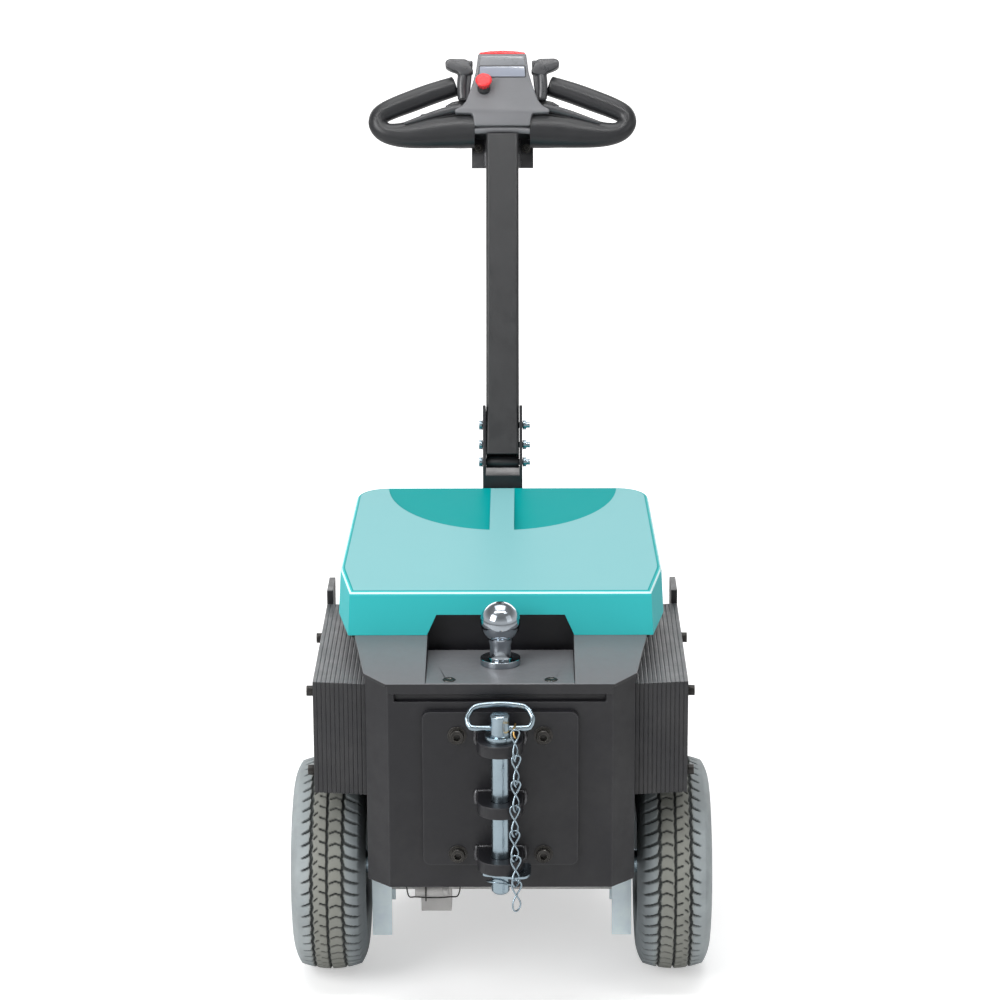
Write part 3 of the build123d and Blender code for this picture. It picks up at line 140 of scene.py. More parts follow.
def surface(name, base, rough, metal=0.0, spot=0.12, spot_scale=18.0, grain=0.0, grain_scale=900.0,
            rough_spread=0.08, coat=0.0, coat_rough=0.05, wear=0.0, wear_colour=(0.3, 0.3, 0.31),
            wear_from=(0.03, 0.14), bevel=0.0012, specular=0.5, dust=0.0, dust_colour=(0.3, 0.29, 0.27),
            painted_sheen=None, painted_sheen_from=(0.25, 0.60), flat=None, flat_from=(0.96, 0.985), painted_edge_highlight=None):
    """Material whose colour, roughness and relief come from noise in the object's own space.

    flat adds a painted shade and film a painted sheen over the faces that point up, painted_edge_highlight a
    painted highlight on the rounded edges between those and the flanks.
    """
    material = bpy.data.materials.new(name)
    material.use_nodes = True
    material.diffuse_color = colour(base)
    t = material.node_tree
    t.nodes.clear()
    place = node_of(t, "TexCoord").outputs["Object"]
    shade = drifting(t, place, base, spot, spot_scale)
    if dust:
        cloud = noise(t, place, spot_scale * 0.35, 8.0, 0.72)
        shade = blended(t, shade, dust_colour, spread(t, cloud, 0.45, 0.75, to_high=dust))
    if wear:
        shade = blended(t, shade, wear_colour, worn_edges(t, place, bevel, wear_from, wear))
    # painted shade and painted sheen over the faces that point up
    for tint, limits in ((flat, flat_from), (painted_sheen, painted_sheen_from)):
        if tint:
            shade = blended(t, shade, tint, spread(t, upness(t), *limits))
    # painted highlight on the rounded edges
    if painted_edge_highlight:
        shade = blended(t, shade, painted_edge_highlight, maths(t, "COMPARE", upness(t), HIGHLIGHT_UP, HIGHLIGHT_SPREAD))
    haze = noise(t, place, spot_scale * 3.1, 6.0, 0.65)
    dull = spread(t, haze, 0.3, 0.7, max(0.02, rough - rough_spread), min(1.0, rough + rough_spread))
    principled = node_of(t, "BsdfPrincipled", **{
        "Base Color": shade, "Roughness": dull, "Metallic": metal, "Specular IOR Level": specular,
        "Coat Weight": coat, "Coat Roughness": coat_rough})
    if grain:
        fine = noise(t, place, grain_scale, 3.0, 0.6)
        relief = node_of(t, "Bump", Strength=grain, Distance=RELIEF_DEPTH, Height=fine)
        t.links.new(relief.outputs["Normal"], principled.inputs["Normal"])
    node_of(t, "OutputMaterial", principled.outputs["BSDF"])
    return material


M = {
    # edge wear set wide and light: part real wear, part a painted highlight along the box's folds
    "paint": surface("Black_powder_coat", (0.0078, 0.0078, 0.0105), 0.40, spot=0.10, grain=0.16,
        grain_scale=1500.0, wear=0.55, wear_colour=(0.055, 0.055, 0.060), wear_from=(0.010, 0.036),
        bevel=0.003, dust=0.04, specular=0.5),
    # a painted sheen lightens the faces that point up
    "deck": surface("Deck_powder_coat", (0.0078, 0.0078, 0.0105), 0.40, spot=0.10, grain=0.16,
        grain_scale=1500.0, wear=0.35, wear_colour=(0.16, 0.16, 0.165), dust=0.04, specular=0.6,
        painted_sheen=(0.150, 0.152, 0.162)),
    # its base is lighter than the black coat of the frame: a painted sheen on the leaning tube
    "tube": surface("Tube_powder_coat", (0.0125, 0.0130, 0.0145), 0.42, spot=0.12, grain=0.45,
        grain_scale=900.0, wear=0.45, wear_colour=(0.20, 0.20, 0.205), specular=0.6),
    # a painted sheen lightens the faces that point up
    "ballast": surface("Ballast_paint", (0.0115, 0.0120, 0.0150), 0.46, spot=0.14, grain=0.2,
        grain_scale=1100.0, wear=0.5, wear_colour=(0.13, 0.135, 0.14), dust=0.08, specular=0.6,
        painted_sheen=(0.085, 0.087, 0.093)),
    "zinc": surface("Bright_zinc_plate", (0.345, 0.430, 0.485), 0.22, metal=1.0, spot=0.06, spot_scale=40.0,
        grain=0.06, grain_scale=700.0, rough_spread=0.07),
    # a near-white, hardly metallic copy of the zinc, lightened to make up for the shade under the body: painted
    # light
    "bracket": surface("Zinc_brackets_painted_light", (0.80, 0.92, 1.0), 0.42, metal=0.1, spot=0.07, spot_scale=30.0,
        grain=0.08, grain_scale=500.0),
    "oxide": surface("Black_oxide_screws", (0.036, 0.034, 0.032), 0.33, metal=0.6, spot=0.35,
        spot_scale=90.0, grain=0.12, grain_scale=1200.0, wear=0.8, wear_colour=(0.24, 0.23, 0.20)),
    "ball": surface("Polished_ball", (0.41, 0.45, 0.49), 0.13, metal=1.0, spot=0.05, spot_scale=30.0,
        grain=0.03, grain_scale=600.0, rough_spread=0.05),
    # the cover's gloss is painted: a darker painted shade on faces that point up, a pale painted sheen on the
    # level tops and a painted highlight line on the rounded edges, with almost no specular of its own
    "teal": surface("Teal_cover_painted_gloss", (0.046, 0.478, 0.497), 0.42, spot=0.015, spot_scale=5.0,
        rough_spread=0.02, specular=0.03, flat=(0.0, 0.300, 0.300), flat_from=(0.90, 0.97),
        painted_sheen=(0.205, 0.462, 0.483), painted_sheen_from=(0.9965, 0.9985), painted_edge_highlight=(0.62, 0.86, 0.87)),
    "tyre": surface("Grey_tyre_rubber", (0.30, 0.335, 0.345), 0.66, spot=0.13, spot_scale=26.0, grain=0.35,
        grain_scale=800.0, dust=0.3, dust_colour=(0.38, 0.385, 0.38), specular=0.45),
    "castor": surface("Castor_rubber", (0.045, 0.046, 0.048), 0.7, spot=0.15, grain=0.3, grain_scale=700.0,
        dust=0.25, specular=0.35),
    "plastic": surface("Black_moulded_plastic", (0.017, 0.0175, 0.0195), 0.38, spot=0.08, grain=0.22,
        grain_scale=2100.0, rough_spread=0.05, specular=0.6),
    # its base is far lighter than the black plastic it is: a painted sheen
    "console": surface("Head_cover_plastic_painted_sheen", (0.145, 0.148, 0.158), 0.40, spot=0.05, grain=0.2,
        grain_scale=2100.0, rough_spread=0.04, specular=0.6),
    "panel": surface("Head_label_panel", (0.215, 0.225, 0.240), 0.30, spot=0.05, grain=0.05, coat=0.3),
    # a painted sheen lightens the upper sides of the grips
    "grip": surface("Grip_shell", (0.0135, 0.0140, 0.0160), 0.34, spot=0.08, grain=0.18, grain_scale=1700.0,
        rough_spread=0.06, specular=0.5, painted_sheen=(0.040, 0.041, 0.043), painted_sheen_from=(0.45, 0.95)),
    "lever": surface("Thumb_lever_plastic", (0.042, 0.043, 0.047), 0.32, spot=0.08, grain=0.12,
        grain_scale=1700.0, specular=0.7),
    "gap": surface("Seam_gap", (0.004, 0.004, 0.004), 0.7, spot=0.1, specular=0.2),
    "red": surface("Red_gloss_plastic", (0.80, 0.035, 0.040), 0.3, spot=0.04, grain=0.05,
        grain_scale=600.0),
    "display": surface("Display_window", (0.285, 0.310, 0.370), 0.16, spot=0.05, coat=0.5, coat_rough=0.04),
    "motor": surface("Motor_paint", (0.56, 0.55, 0.54), 0.45, metal=0.1, spot=0.08, grain=0.1, dust=0.1),
    "battery": surface("Battery_case", (0.03, 0.031, 0.034), 0.55, spot=0.08, grain=0.25,
        grain_scale=1300.0),
    "brass": surface("Brass_ring", (0.75, 0.46, 0.16), 0.25, metal=1.0, spot=0.08, spot_scale=80.0,
        grain=0.05),
    "weld": surface("Weld_bead", (0.09, 0.09, 0.095), 0.30, metal=0.7, spot=0.5, spot_scale=130.0,
        grain=0.3, grain_scale=1500.0),
}
# the first material of each slot, then the ones that share a slot
SLOTS = {
    "paint": "painted_black", "ballast": "ballast_paint", "zinc": "zinc", "oxide": "dark_steel",
    "ball": "ball_chrome", "teal": "teal_cover", "tyre": "tyre_rubber", "castor": "castor_rubber",
    "plastic": "black_plastic", "red": "red_plastic", "display": "display_window", "motor": "motor_paint",
    "battery": "battery_case",
}
BY_SLOT = {slot: key for key, slot in SLOTS.items()}
SLOTS.update({
    "brass": "zinc", "bracket": "zinc", "weld": "painted_black", "deck": "painted_black",
    "tube": "painted_black", "console": "black_plastic", "panel": "black_plastic", "grip": "black_plastic",
    "lever": "black_plastic", "gap": "black_plastic",
})
BY_NODE = {"axle_bracket_left": "bracket", "axle_bracket_right": "bracket", "top_deck": "deck",
           "ball_tray": "deck", "tiller_tube": "tube"}


# ---------------------------------------------------------------- the CAD nodes: materials and rounded edges
for part in frame["record"]["subparts"]:
    materials = NODES[part["node"]].data.materials
    materials.clear()
    materials.append(M[BY_NODE.get(part["node"], BY_SLOT[part["material_slot"]])])


def soften(node, width):
    """Rounds the sharp edges of a CAD node by modifiers alone."""
    o = NODES[node]
    weld = o.modifiers.new("Weld", "WELD")
    weld.merge_threshold = 1e-5
    bevel = o.modifiers.new("Bevel", "BEVEL")
    bevel.width = width
    bevel.segments = 3
    bevel.limit_method = "ANGLE"
    bevel.angle_limit = math.radians(35.0)
    bevel.harden_normals = True


# ---------------------------------------------------------------- mesh tools
REPLACED = set()


def add_piece(name, mesh, material, body, stands_for=(), smooth=32.0):
    """A piece that rides on a body, in place of the CAD nodes that it stands for."""
    o = bpy.data.objects.new(name, mesh)
    bpy.context.scene.collection.objects.link(o)
    mesh.materials.clear()
    mesh.materials.append(M[material])
    mesh.shade_smooth()
    mesh.set_sharp_from_angle(angle=math.radians(smooth))
    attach(o, body)
    if stands_for:
        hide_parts(*stands_for)
        REPLACED.update(stands_for)


def mesh_of(verts, faces, merge=True):
    """A mesh with its doubles merged and its faces turned outwards."""
    me = bpy.data.meshes.new("mesh")
    me.from_pydata([tuple(v) for v in verts], [], faces)
    bm = bmesh.new()
    bm.from_mesh(me)
    if merge:
        bmesh.ops.remove_doubles(bm, verts=bm.verts, dist=1e-6)
    bmesh.ops.recalc_face_normals(bm, faces=bm.faces)
    bm.to_mesh(me)
    bm.free()
    return me


def joined(meshes):
    """Several meshes as one."""
    bm = bmesh.new()
    for me in meshes:
        bm.from_mesh(me)
    out = bpy.data.meshes.new("joined")
    bm.to_mesh(out)
    bm.free()
    return out


def turns(count):
    """Even angles round a full circle."""
    return [2 * math.pi * k / count for k in range(count)]


def basis(axis):
    """The axis and two more that stand square to it."""
    axis = Vector(axis).normalized()
    side = axis.orthogonal().normalized()
    return axis, side, axis.cross(side)


def skin(rings):
    """Closed skin over rings of points that all have the same count."""
    n, last = len(rings[0]), (len(rings) - 1) * len(rings[0])
    faces = [(i + k, i + (k + 1) % n, i + n + (k + 1) % n, i + n + k)
             for i in range(0, last, n) for k in range(n)]
    faces.append(tuple(range(n))[::-1])
    faces.append(tuple(range(last, last + n)))
    return mesh_of([p for ring in rings for p in ring], faces)


def lathe(profile, centre, axis, steps=48):
    """Turned solid: (radius, height) pairs about an axis through centre. Radius 0 closes an end."""
    axis, a, b = basis(axis)
    centre = Vector(centre)
    verts, faces, rings = [], [], []
    for r, h in profile:
        first = len(verts)
        for t in turns(steps) if r else [0.0]:
            verts.append(centre + axis * h + a * r * math.cos(t) + b * r * math.sin(t))
        rings.append(range(first, len(verts)))
    for p, q in zip(rings, rings[1:]):
        for k in range(steps):
            l = (k + 1) % steps
            if len(p) == 1:
                faces.append((p[0], q[l], q[k]))
            elif len(q) == 1:
                faces.append((p[k], p[l], q[0]))
            else:
                faces.append((p[k], p[l], q[l], q[k]))
    return mesh_of(verts, faces)


def bend(p, c, q, r, steps):
    """Points on the round that takes the place of the corner c between p and q."""
    a, b = c + (p - c).normalized() * r, c + (q - c).normalized() * r
    shares = [k / steps for k in range(steps + 1)]
    return [tuple(a * (1 - t) ** 2 + c * 2 * t * (1 - t) + b * t ** 2) for t in shares]


def rounded(profile, radius=0.0008):
    """Profile of a turned solid with its inner corners rounded; nearly straight ones stay."""
    out = [profile[0]]
    for p, c, q in zip(profile, profile[1:], profile[2:]):
        p, c, q = Vector(p), Vector(c), Vector(q)
        r = min(radius, (p - c).length * 0.45, (q - c).length * 0.45)
        if r < 1e-6 or (p - c).angle(q - c, 3.14) > 2.9:
            out.append(tuple(c))
        else:
            out += bend(p, c, q, r, 3)
    return out + [profile[-1]]


def corner_round(points, radius, steps=5):
    """Plan polygon with its corners rounded."""
    out = []
    for i, c in enumerate(points):
        p, c, q = Vector(points[i - 1]), Vector(c), Vector(points[(i + 1) % len(points)])
        out += bend(p, c, q, min(radius, (p - c).length * 0.48, (q - c).length * 0.48), steps)
    return out


def tube(points, radius, closed=False, sides=14, radii=None):
    """Round bar along points, with frames carried from one point to the next."""
    pts = [Vector(p) for p in points]
    n = len(pts)
    rings = []
    normal = None
    for i, p in enumerate(pts):
        before = pts[i - 1] if (i > 0 or closed) else p
        after = pts[(i + 1) % n] if (i < n - 1 or closed) else p
        along = (after - before).normalized()
        if normal is None:
            normal = along.orthogonal().normalized()
        normal = (normal - along * normal.dot(along)).normalized()
        other = along.cross(normal)
        r = radii[i] if radii else radius
        rings.append([p + (normal * math.cos(t) + other * math.sin(t)) * r for t in turns(sides)])
    if not closed:
        return skin(rings)
    first, last = rings[0], rings[-1]
    shift = min(range(sides),
                key=lambda s: sum((last[(k + s) % sides] - first[k]).length for k in range(sides)))
    faces = []
    for i in range(n):
        here, there = i * sides, (i + 1) % n * sides
        back = 0 if there else shift
        for k in range(sides):
            l = (k + 1) % sides
            faces.append((here + k, here + l, there + (l - back) % sides, there + (k - back) % sides))
    return mesh_of([v for ring in rings for v in ring], faces)


def spline(points, closed=False, steps=10):
    """Catmull-Rom curve through points."""
    p = [Vector(q) for q in points]
    n = len(p)
    out = []
    for i in range(n if closed else n - 1):
        a = p[(i - 1) % n] if (closed or i > 0) else p[0]
        b, c = p[i], p[(i + 1) % n]
        d = p[(i + 2) % n] if (closed or i < n - 2) else p[-1]
        for k in range(steps):
            t = k / steps
            out.append(0.5 * ((2 * b) + (c - a) * t + (2 * a - 5 * b + 4 * c - d) * t * t
                              + (3 * b - a - 3 * c + d) * t ** 3))
    if not closed:
        out.append(p[-1])
    return out


def slab(points, origin, axes, levels, bevel, segments=3):
    """Plate from a plan polygon in a frame, between two levels, with rounded edges."""
    n = len(points)
    ex, ey, ez = axes
    verts = [origin + ex * x + ey * y + ez * level for level in levels for x, y in points]
    faces = [tuple(range(n))[::-1], tuple(range(n, 2 * n))]
    faces += [(k, (k + 1) % n, n + (k + 1) % n, n + k) for k in range(n)]
    me = mesh_of(verts, faces)
    bm = bmesh.new()
    bm.from_mesh(me)
    sharp = [e for e in bm.edges if len(e.link_faces) == 2 and e.calc_face_angle(0) > math.radians(24)]
    bmesh.ops.bevel(bm, geom=sharp, offset=bevel, segments=segments, profile=0.5, affect="EDGES",
                    clamp_overlap=True)
    bmesh.ops.recalc_face_normals(bm, faces=bm.faces)
    bm.to_mesh(me)
    bm.free()
    return me


def holed_plate(loops, low, high):
    """Flat plate from an outline and the outlines of its holes."""
    edge = 0.0003
    curve = bpy.data.curves.new("plate", "CURVE")
    curve.dimensions = "2D"
    curve.fill_mode = "BOTH"
    for loop in loops:
        s = curve.splines.new("POLY")
        s.points.add(len(loop) - 1)
        for point, (x, y) in zip(s.points, loop):
            point.co = (x, y, 0.0, 1.0)
        s.use_cyclic_u = True
    curve.extrude = (high - low) / 2 - edge
    curve.bevel_depth = edge
    curve.bevel_resolution = 1
    o = bpy.data.objects.new("plate", curve)
    bpy.context.scene.collection.objects.link(o)
    bpy.context.view_layer.update()
    me = bpy.data.meshes.new_from_object(o.evaluated_get(bpy.context.evaluated_depsgraph_get()))
    bpy.data.objects.remove(o)
    me.transform(Matrix.Translation((0, 0, (low + high) / 2)))
    return me


def step(x, low, high):
    """0 below low, 1 above high, and a smooth rise between."""
    t = max(0.0, min(1.0, (x - low) / (high - low)))
    return t * t * (3 - 2 * t)


# ---------------------------------------------------------------- tyres with their tread, in millimetres
PITCHES = 54
PER_PITCH = 12
PITCH = 15.9
BEAD_R, FLANGE_R = 52.0, 60.0
BEAD_HALF, TREAD_HALF, TYRE_HALF = 30.0, 38.0, 46.5
SHOULDER_DROP = 7.0
TREAD_ROWS = 74
TYRE_INSET = 3.0
GROOVE_X = 19.5


def arc_through(a, b, c, steps):
    """Points on the arc from a through b to c."""
    ax, ay, bx, by, cx, cy = *a, *b, *c
    aa, bb, cc = ax ** 2 + ay ** 2, bx ** 2 + by ** 2, cx ** 2 + cy ** 2
    d = 2 * (ax * (by - cy) + bx * (cy - ay) + cx * (ay - by))
    ux = (aa * (by - cy) + bb * (cy - ay) + cc * (ay - by)) / d
    uy = (aa * (cx - bx) + bb * (ax - cx) + cc * (bx - ax)) / d
    r = math.hypot(ax - ux, ay - uy)
    t0, t1, t2 = (math.atan2(y - uy, x - ux) for x, y in (a, b, c))
    turn = 2 * math.pi
    while t1 < t0:
        t1 += turn
    while t2 < t0:
        t2 += turn
    if t2 < t1:
        t2 -= turn
    angles = [t0 + (t2 - t0) * k / steps for k in range(steps + 1)]
    return [(ux + r * math.cos(t), uy + r * math.sin(t)) for t in angles]


def across_cut(u, at_u):
    """Distance along the tread from a cut that sits at one share of the pitch."""
    return abs((u - at_u + 0.5) % 1.0 - 0.5) * PITCH


def dip(depth, distance, floor, rim):
    """Depth at a distance from a cut's line: full up to the floor's half width, none beyond the rim's."""
    return depth * (1 - step(distance, floor, rim))


def cut_depth(x, u):
    """Depth of the tread cut, x across the tyre from its middle and u along one pitch."""
    side = abs(x)
    outer = x > 0
    zigzag = 1.9 * (2 * abs(u - 0.5) - 0.5)
    depth = dip(4.2, abs(x - 0.5 * math.sin(2 * math.pi * u)), 1.0, 2.0)
    depth = max(depth, dip(4.6, abs(side - GROOVE_X - zigzag), 1.2, 2.2))
    if side < GROOVE_X and outer:
        # cuts that leave the middle groove, and short slanted sipes beside the outer groove
        if side < 10.5:
            line = across_cut(u, 0.30 - side * 0.022)
            depth = max(depth, dip(3.2, line, 0.7, 1.7) * (1 - step(side, 8.6, 10.5)))
        if 11.0 < side < 17.5:
            line = across_cut(u, 0.62 + (side - 11.0) * 0.055)
            ends = step(side, 11.0, 12.4) * (1 - step(side, 16, 17.5))
            depth = max(depth, dip(2.8, line, 0.6, 1.5) * ends)
    elif side < GROOVE_X:
        # arrow cuts over the whole inner rib
        line = across_cut(u, 0.28 + abs(side - 11.0) * 0.024)
        depth = max(depth, dip(3.0, line, 0.7, 1.7) * step(side, 2.5, 4.0))
    else:
        # hooked cuts that part the shoulder blocks and run out on the flank
        reach = (side - GROOVE_X) / 20.0
        line = across_cut(u, 0.10 + 0.86 * reach - 0.42 * reach * reach)
        width = (0.7 if outer else 1.35) + 1.1 * max(0.0, 1 - reach)
        end = 34.0 if outer else 42.0
        depth = max(depth, dip(3.8, line, width * 0.6, width * 1.3) * (1 - step(side, end - 6.0, end)))
    return depth


def tyre_section(radius):
    """(across, radius) pairs from one bead over the tread to the other."""
    shoulder_r = radius - SHOULDER_DROP
    flank = arc_through((BEAD_HALF, FLANGE_R), (TYRE_HALF, (shoulder_r + BEAD_R) / 2),
                        (TREAD_HALF, shoulder_r), 16)
    half = [(BEAD_HALF, BEAD_R), (BEAD_HALF + 0.5, FLANGE_R)] + flank[1:-1]
    crown_r = (TREAD_HALF ** 2 + SHOULDER_DROP ** 2) / (2 * SHOULDER_DROP)
    xs = [TREAD_HALF - 2 * TREAD_HALF * i / TREAD_ROWS for i in range(TREAD_ROWS + 1)]
    crown = [(x, radius - crown_r + math.sqrt(crown_r ** 2 - x ** 2)) for x in xs]
    return half + crown + [(-x, r) for x, r in reversed(half)]


def flank_ring(r):
    """Height of the fine rings round the flank."""
    return 0.35 * math.cos((r - 66) * 2 * math.pi / 4.5) * step(r, 66, 70) * (1 - step(r, 80, 84))


def tyre_piece(word, side):
    low, high = box("tyre_" + word)
    centre = (low + high) / 2
    radius = (high.z - low.z) / 2 / MM
    middle = centre.x - side * TYRE_INSET * MM
    section = tyre_section(radius)
    verts, faces = [], []
    marks = {"worn": [], "inner": [], "cut": []}
    for j, theta in enumerate(turns(PITCHES * PER_PITCH)):
        u = (j % PER_PITCH) / PER_PITCH
        for x, r in section:
            cut = cut_depth(x, u) * step(r, radius - 22, radius - 9)
            across = x + (flank_ring(r) if x > 0 else -flank_ring(r))
            verts.append((middle + side * across * MM, centre.y + (r - cut) * math.cos(theta) * MM,
                          centre.z + (r - cut) * math.sin(theta) * MM))
            marks["worn"].append(1.0 - step(abs(x), 15.0, 27.0) if r > radius - 20 else 0.0)
            # painted shade: on the inner flank, and in the cuts by their depth
            marks["inner"].append(step(-x, 18.0, 42.0))
            marks["cut"].append(min(1.0, cut / 3.0))
    m = len(section)
    for here in range(0, len(verts), m):
        there = (here + m) % len(verts)
        faces += [(here + i, here + (i + 1) % m, there + (i + 1) % m, there + i) for i in range(m)]
    me = mesh_of(verts, faces, merge=False)
    for name, values in marks.items():
        attribute = me.attributes.new(name, "FLOAT", "POINT")
        attribute.data.foreach_set("value", values)
    add_piece("Tyre_" + word, me, "tyre", "wheel_" + word, ("tyre_" + word,), smooth=50.0)


def dress_tyre_material():
    """Olive wear on the middle ribs, painted shade on the inner side and painted shade in the cuts, from the
    tyre's own attributes.
    """
    t = M["tyre"].node_tree
    rubber = [n for n in t.nodes if n.type == "BSDF_PRINCIPLED"][0].inputs["Base Color"]
    shade = rubber.links[0].from_socket
    # worn is olive wear; inner and cut are painted shade
    for name, tint, share in (("worn", (0.205, 0.20, 0.165), 0.75), ("inner", (0.075, 0.088, 0.098), 0.62),
                              ("cut", (0.035, 0.04, 0.04), 0.92)):
        mark = node_of(t, "Attribute")
        mark.attribute_name = name
        shade = blended(t, shade, tint, maths(t, "MULTIPLY", mark.outputs["Fac"], share))
    t.links.new(shade, rubber)


dress_tyre_material()
tyre_piece("left", -1)
tyre_piece("right", 1)


# ---------------------------------------------------------------- tow ball
ball_low, ball_high = box("tow_ball")
BALL_R = 0.025
BALL = Vector((0.0, (ball_low.y + ball_high.y) / 2, ball_high.z - BALL_R))


def tow_ball_piece():
    """Ball with a small flat on top, on its neck and foot."""
    deck = ball_low.z
    r, neck, neck_top = BALL_R, 0.0132, 0.0152
    c = BALL.z - deck
    foot = [(0.0, 0.0), (r, 0.0), (r, 0.0074), (0.0243, 0.0080), (0.0155, 0.0080), (0.0140, 0.0088)]
    profile = rounded(foot, 0.0008) + [(neck, 0.0110), (neck, 0.0220), (0.0136, 0.0265), (neck_top, 0.0300)]
    start = math.acos(neck_top / r)
    for k in range(23):
        a = -start + (math.pi / 2 + start) * k / 24
        profile.append((r * math.cos(a), c + r * math.sin(a)))
    profile += [(0.0072, c + 0.02394), (0.0066, c + 0.0238), (0.0, c + 0.0238)]
    me = lathe(profile, (0.0, BALL.y, deck), (0, 0, 1), steps=72)
    add_piece("Tow_ball", me, "ball", "chassis", ("tow_ball",), smooth=38.0)


tow_ball_piece()


# ---------------------------------------------------------------- socket head screws
SCREW_R = 0.009


def socket_screw(place, axis, radius, height, knurls=22):
    """Cylinder-head screw: knurled flank, bevelled rim, hexagon socket."""
    axis, a, b = basis(axis)
    place = Vector(place)
    steps = knurls * 4
    socket = radius * 0.56
    levels = [(1.0, 0.0, 0.045), (1.0, height * 0.80, 0.045), (0.985, height * 0.86, 0.0),
              (0.88, height, 0.0), (0.66, height, 0.0)]
    rings = []
    for share, h, knurl in levels:
        rings.append([(h, t, radius * share * (1.0 - knurl * (0.5 + 0.5 * math.cos(knurls * t))))
                      for t in turns(steps)])
    for h in (height, height * 0.35):
        rings.append([(h, t, socket * math.cos(math.pi / 6) / math.cos((t % (math.pi / 3)) - math.pi / 6))
                      for t in turns(steps)])
    return skin([[place + axis * h + (a * math.cos(t) + b * math.sin(t)) * r for h, t, r in ring]
                 for ring in rings])


def washer(place, axis, radius, height, bore, corner, steps):
    """Flat ring under a screw's head."""
    profile = rounded([(0.0, 0.0), (radius, 0.0), (radius, height), (bore, height)], corner)
    return lathe(profile, place, axis, steps)


def hitch_screws_piece():
    low, high = box("hitch_screws")
    plate = box("hitch_plate")[0].y
    r = SCREW_R
    front = (0, -1, 0)
    places = [(x, plate, z) for x in (low.x + r, high.x - r) for z in (low.z + r, high.z - r)]
    parts = [socket_screw(place, front, r, r) for place in places]
    parts += [washer(place, front, 0.0115, 0.0012, 0.006, 0.0004, 40) for place in places]
    add_piece("Hitch_screws", joined(parts), "oxide", "chassis", ("hitch_screws",), smooth=30.0)


hitch_screws_piece()


# ---------------------------------------------------------------- weld beads at the lugs' roots
def weld_bead(points, radius, seed):
    """Line of overlapping weld ripples."""
    path = spline(points, steps=8)
    radii = []
    for i in range(len(path)):
        ripple = 0.86 + 0.16 * abs(math.sin(i * 1.45 + seed)) + 0.06 * math.sin(i * 0.7 + 2.1 * seed)
        end = min(i, len(path) - 1 - i) / 3.0
        radii.append(radius * ripple * min(1.0, 0.55 + 0.45 * end))
    return tube(path, radius, sides=10, radii=radii)


LUG_T = 0.015
MIDDLE_LUG_DROP = 0.078


def lug_welds():
    """Beads up both ends of each lug, and above and below it."""
    plate = box("hitch_plate")[0].y
    low, high = box("hitch_lugs")
    half = high.x
    parts = []
    for n, top in enumerate((high.z, high.z - MIDDLE_LUG_DROP, low.z + LUG_T)):
        under = top - LUG_T
        for side in (-1, 1):
            x = side * (half + 0.0008)
            ends = [(x, plate - 0.001, under - 0.002), (x + side * 0.0015, plate - 0.0015, top - LUG_T / 2),
                    (x, plate - 0.001, top + 0.002)]
            parts.append(weld_bead(ends, 0.0032, n + side))
        over = [(-half, plate - 0.0008, top + 0.0006), (0.0, plate - 0.001, top + 0.001),
                (half, plate - 0.0008, top + 0.0006)]
        parts.append(weld_bead(over, 0.0022, 3 + n))
        below = [(x, plate - 0.0008, under - 0.0006) for x in (-half, half)]
        parts.append(weld_bead(below, 0.0022, 7 + n))
    add_piece("Lug_welds", joined(parts), "weld", "chassis", smooth=60.0)


lug_welds()


# ---------------------------------------------------------------- tow pin, handle, chain and clip
pin_low, pin_high = box("tow_pin")
PIN = Vector((0.0, (pin_low.y + pin_high.y) / 2, pin_low.z))
LUG_TOP = box("hitch_lugs")[1].z
COLLAR_HEIGHT = 0.007
chain_low, chain_high = box("pin_chain")
CHAIN_X = (chain_low.x + chain_high.x) / 2
CHAIN_Y = chain_low.y + 0.0045


def tow_pin_piece():
    r, collar, head = 0.011, 0.0185, 0.012
    up = LUG_TOP - pin_low.z
    total = pin_high.z - pin_low.z
    profile = rounded([(0.0, 0.0), (r - 0.0028, 0.0), (r, 0.0032), (r, up), (collar, up),
                       (collar, up + COLLAR_HEIGHT), (head, up + COLLAR_HEIGHT), (head, total - 0.002),
                       (head - 0.0022, total), (0.0, total)], 0.0007)
    me = lathe(profile, PIN, (0, 0, 1), steps=64)
    add_piece("Tow_pin", me, "zinc", "chassis", ("tow_pin",), smooth=30.0)


def pin_handle_piece():
    """Wire loop that leans back through the pin's head."""
    lean = math.radians(40.0)
    up = Vector((0, math.sin(lean), math.cos(lean)))
    base = Vector((0.0, PIN.y, LUG_TOP + COLLAR_HEIGHT + 0.008))
    half, rise = 0.0395, 0.0280
    rising = [(half - 0.0025, 0.0035), (half, 0.011), (half - 0.0008, rise - 0.012),
              (half - 0.006, rise - 0.0035), (half * 0.62, rise + 0.0008)]
    plan = [(-half + 0.009, 0.0), (0.0, 0.0), (half - 0.009, 0.0)] + rising + [(0.0, rise + 0.0028)]
    plan += [(-x, y) for x, y in reversed(rising)]
    wire = tube(spline([base + Vector((x, 0, 0)) + up * y for x, y in plan], closed=True, steps=6),
                0.0035, closed=True, sides=18)
    add_piece("Pin_handle", wire, "zinc", "chassis", ("pin_handle",), smooth=60.0)


def twisted_link(top, length, width, wire, turn):
    """One chain link: a figure of eight whose two eyes stand at right angles."""
    pts = []
    for t in turns(40):
        z = math.cos(t) * length / 2
        x = math.sin(2 * t) * width / 2
        y = math.sin(t) * wire * 1.15
        twist = math.radians(turn) + (0.5 - z / length) * math.radians(84.0)
        c, s = math.cos(twist), math.sin(twist)
        pts.append(Vector(top) + Vector((x * c - y * s, x * s + y * c, z - length / 2)))
    return tube(pts, wire, closed=True, sides=8)


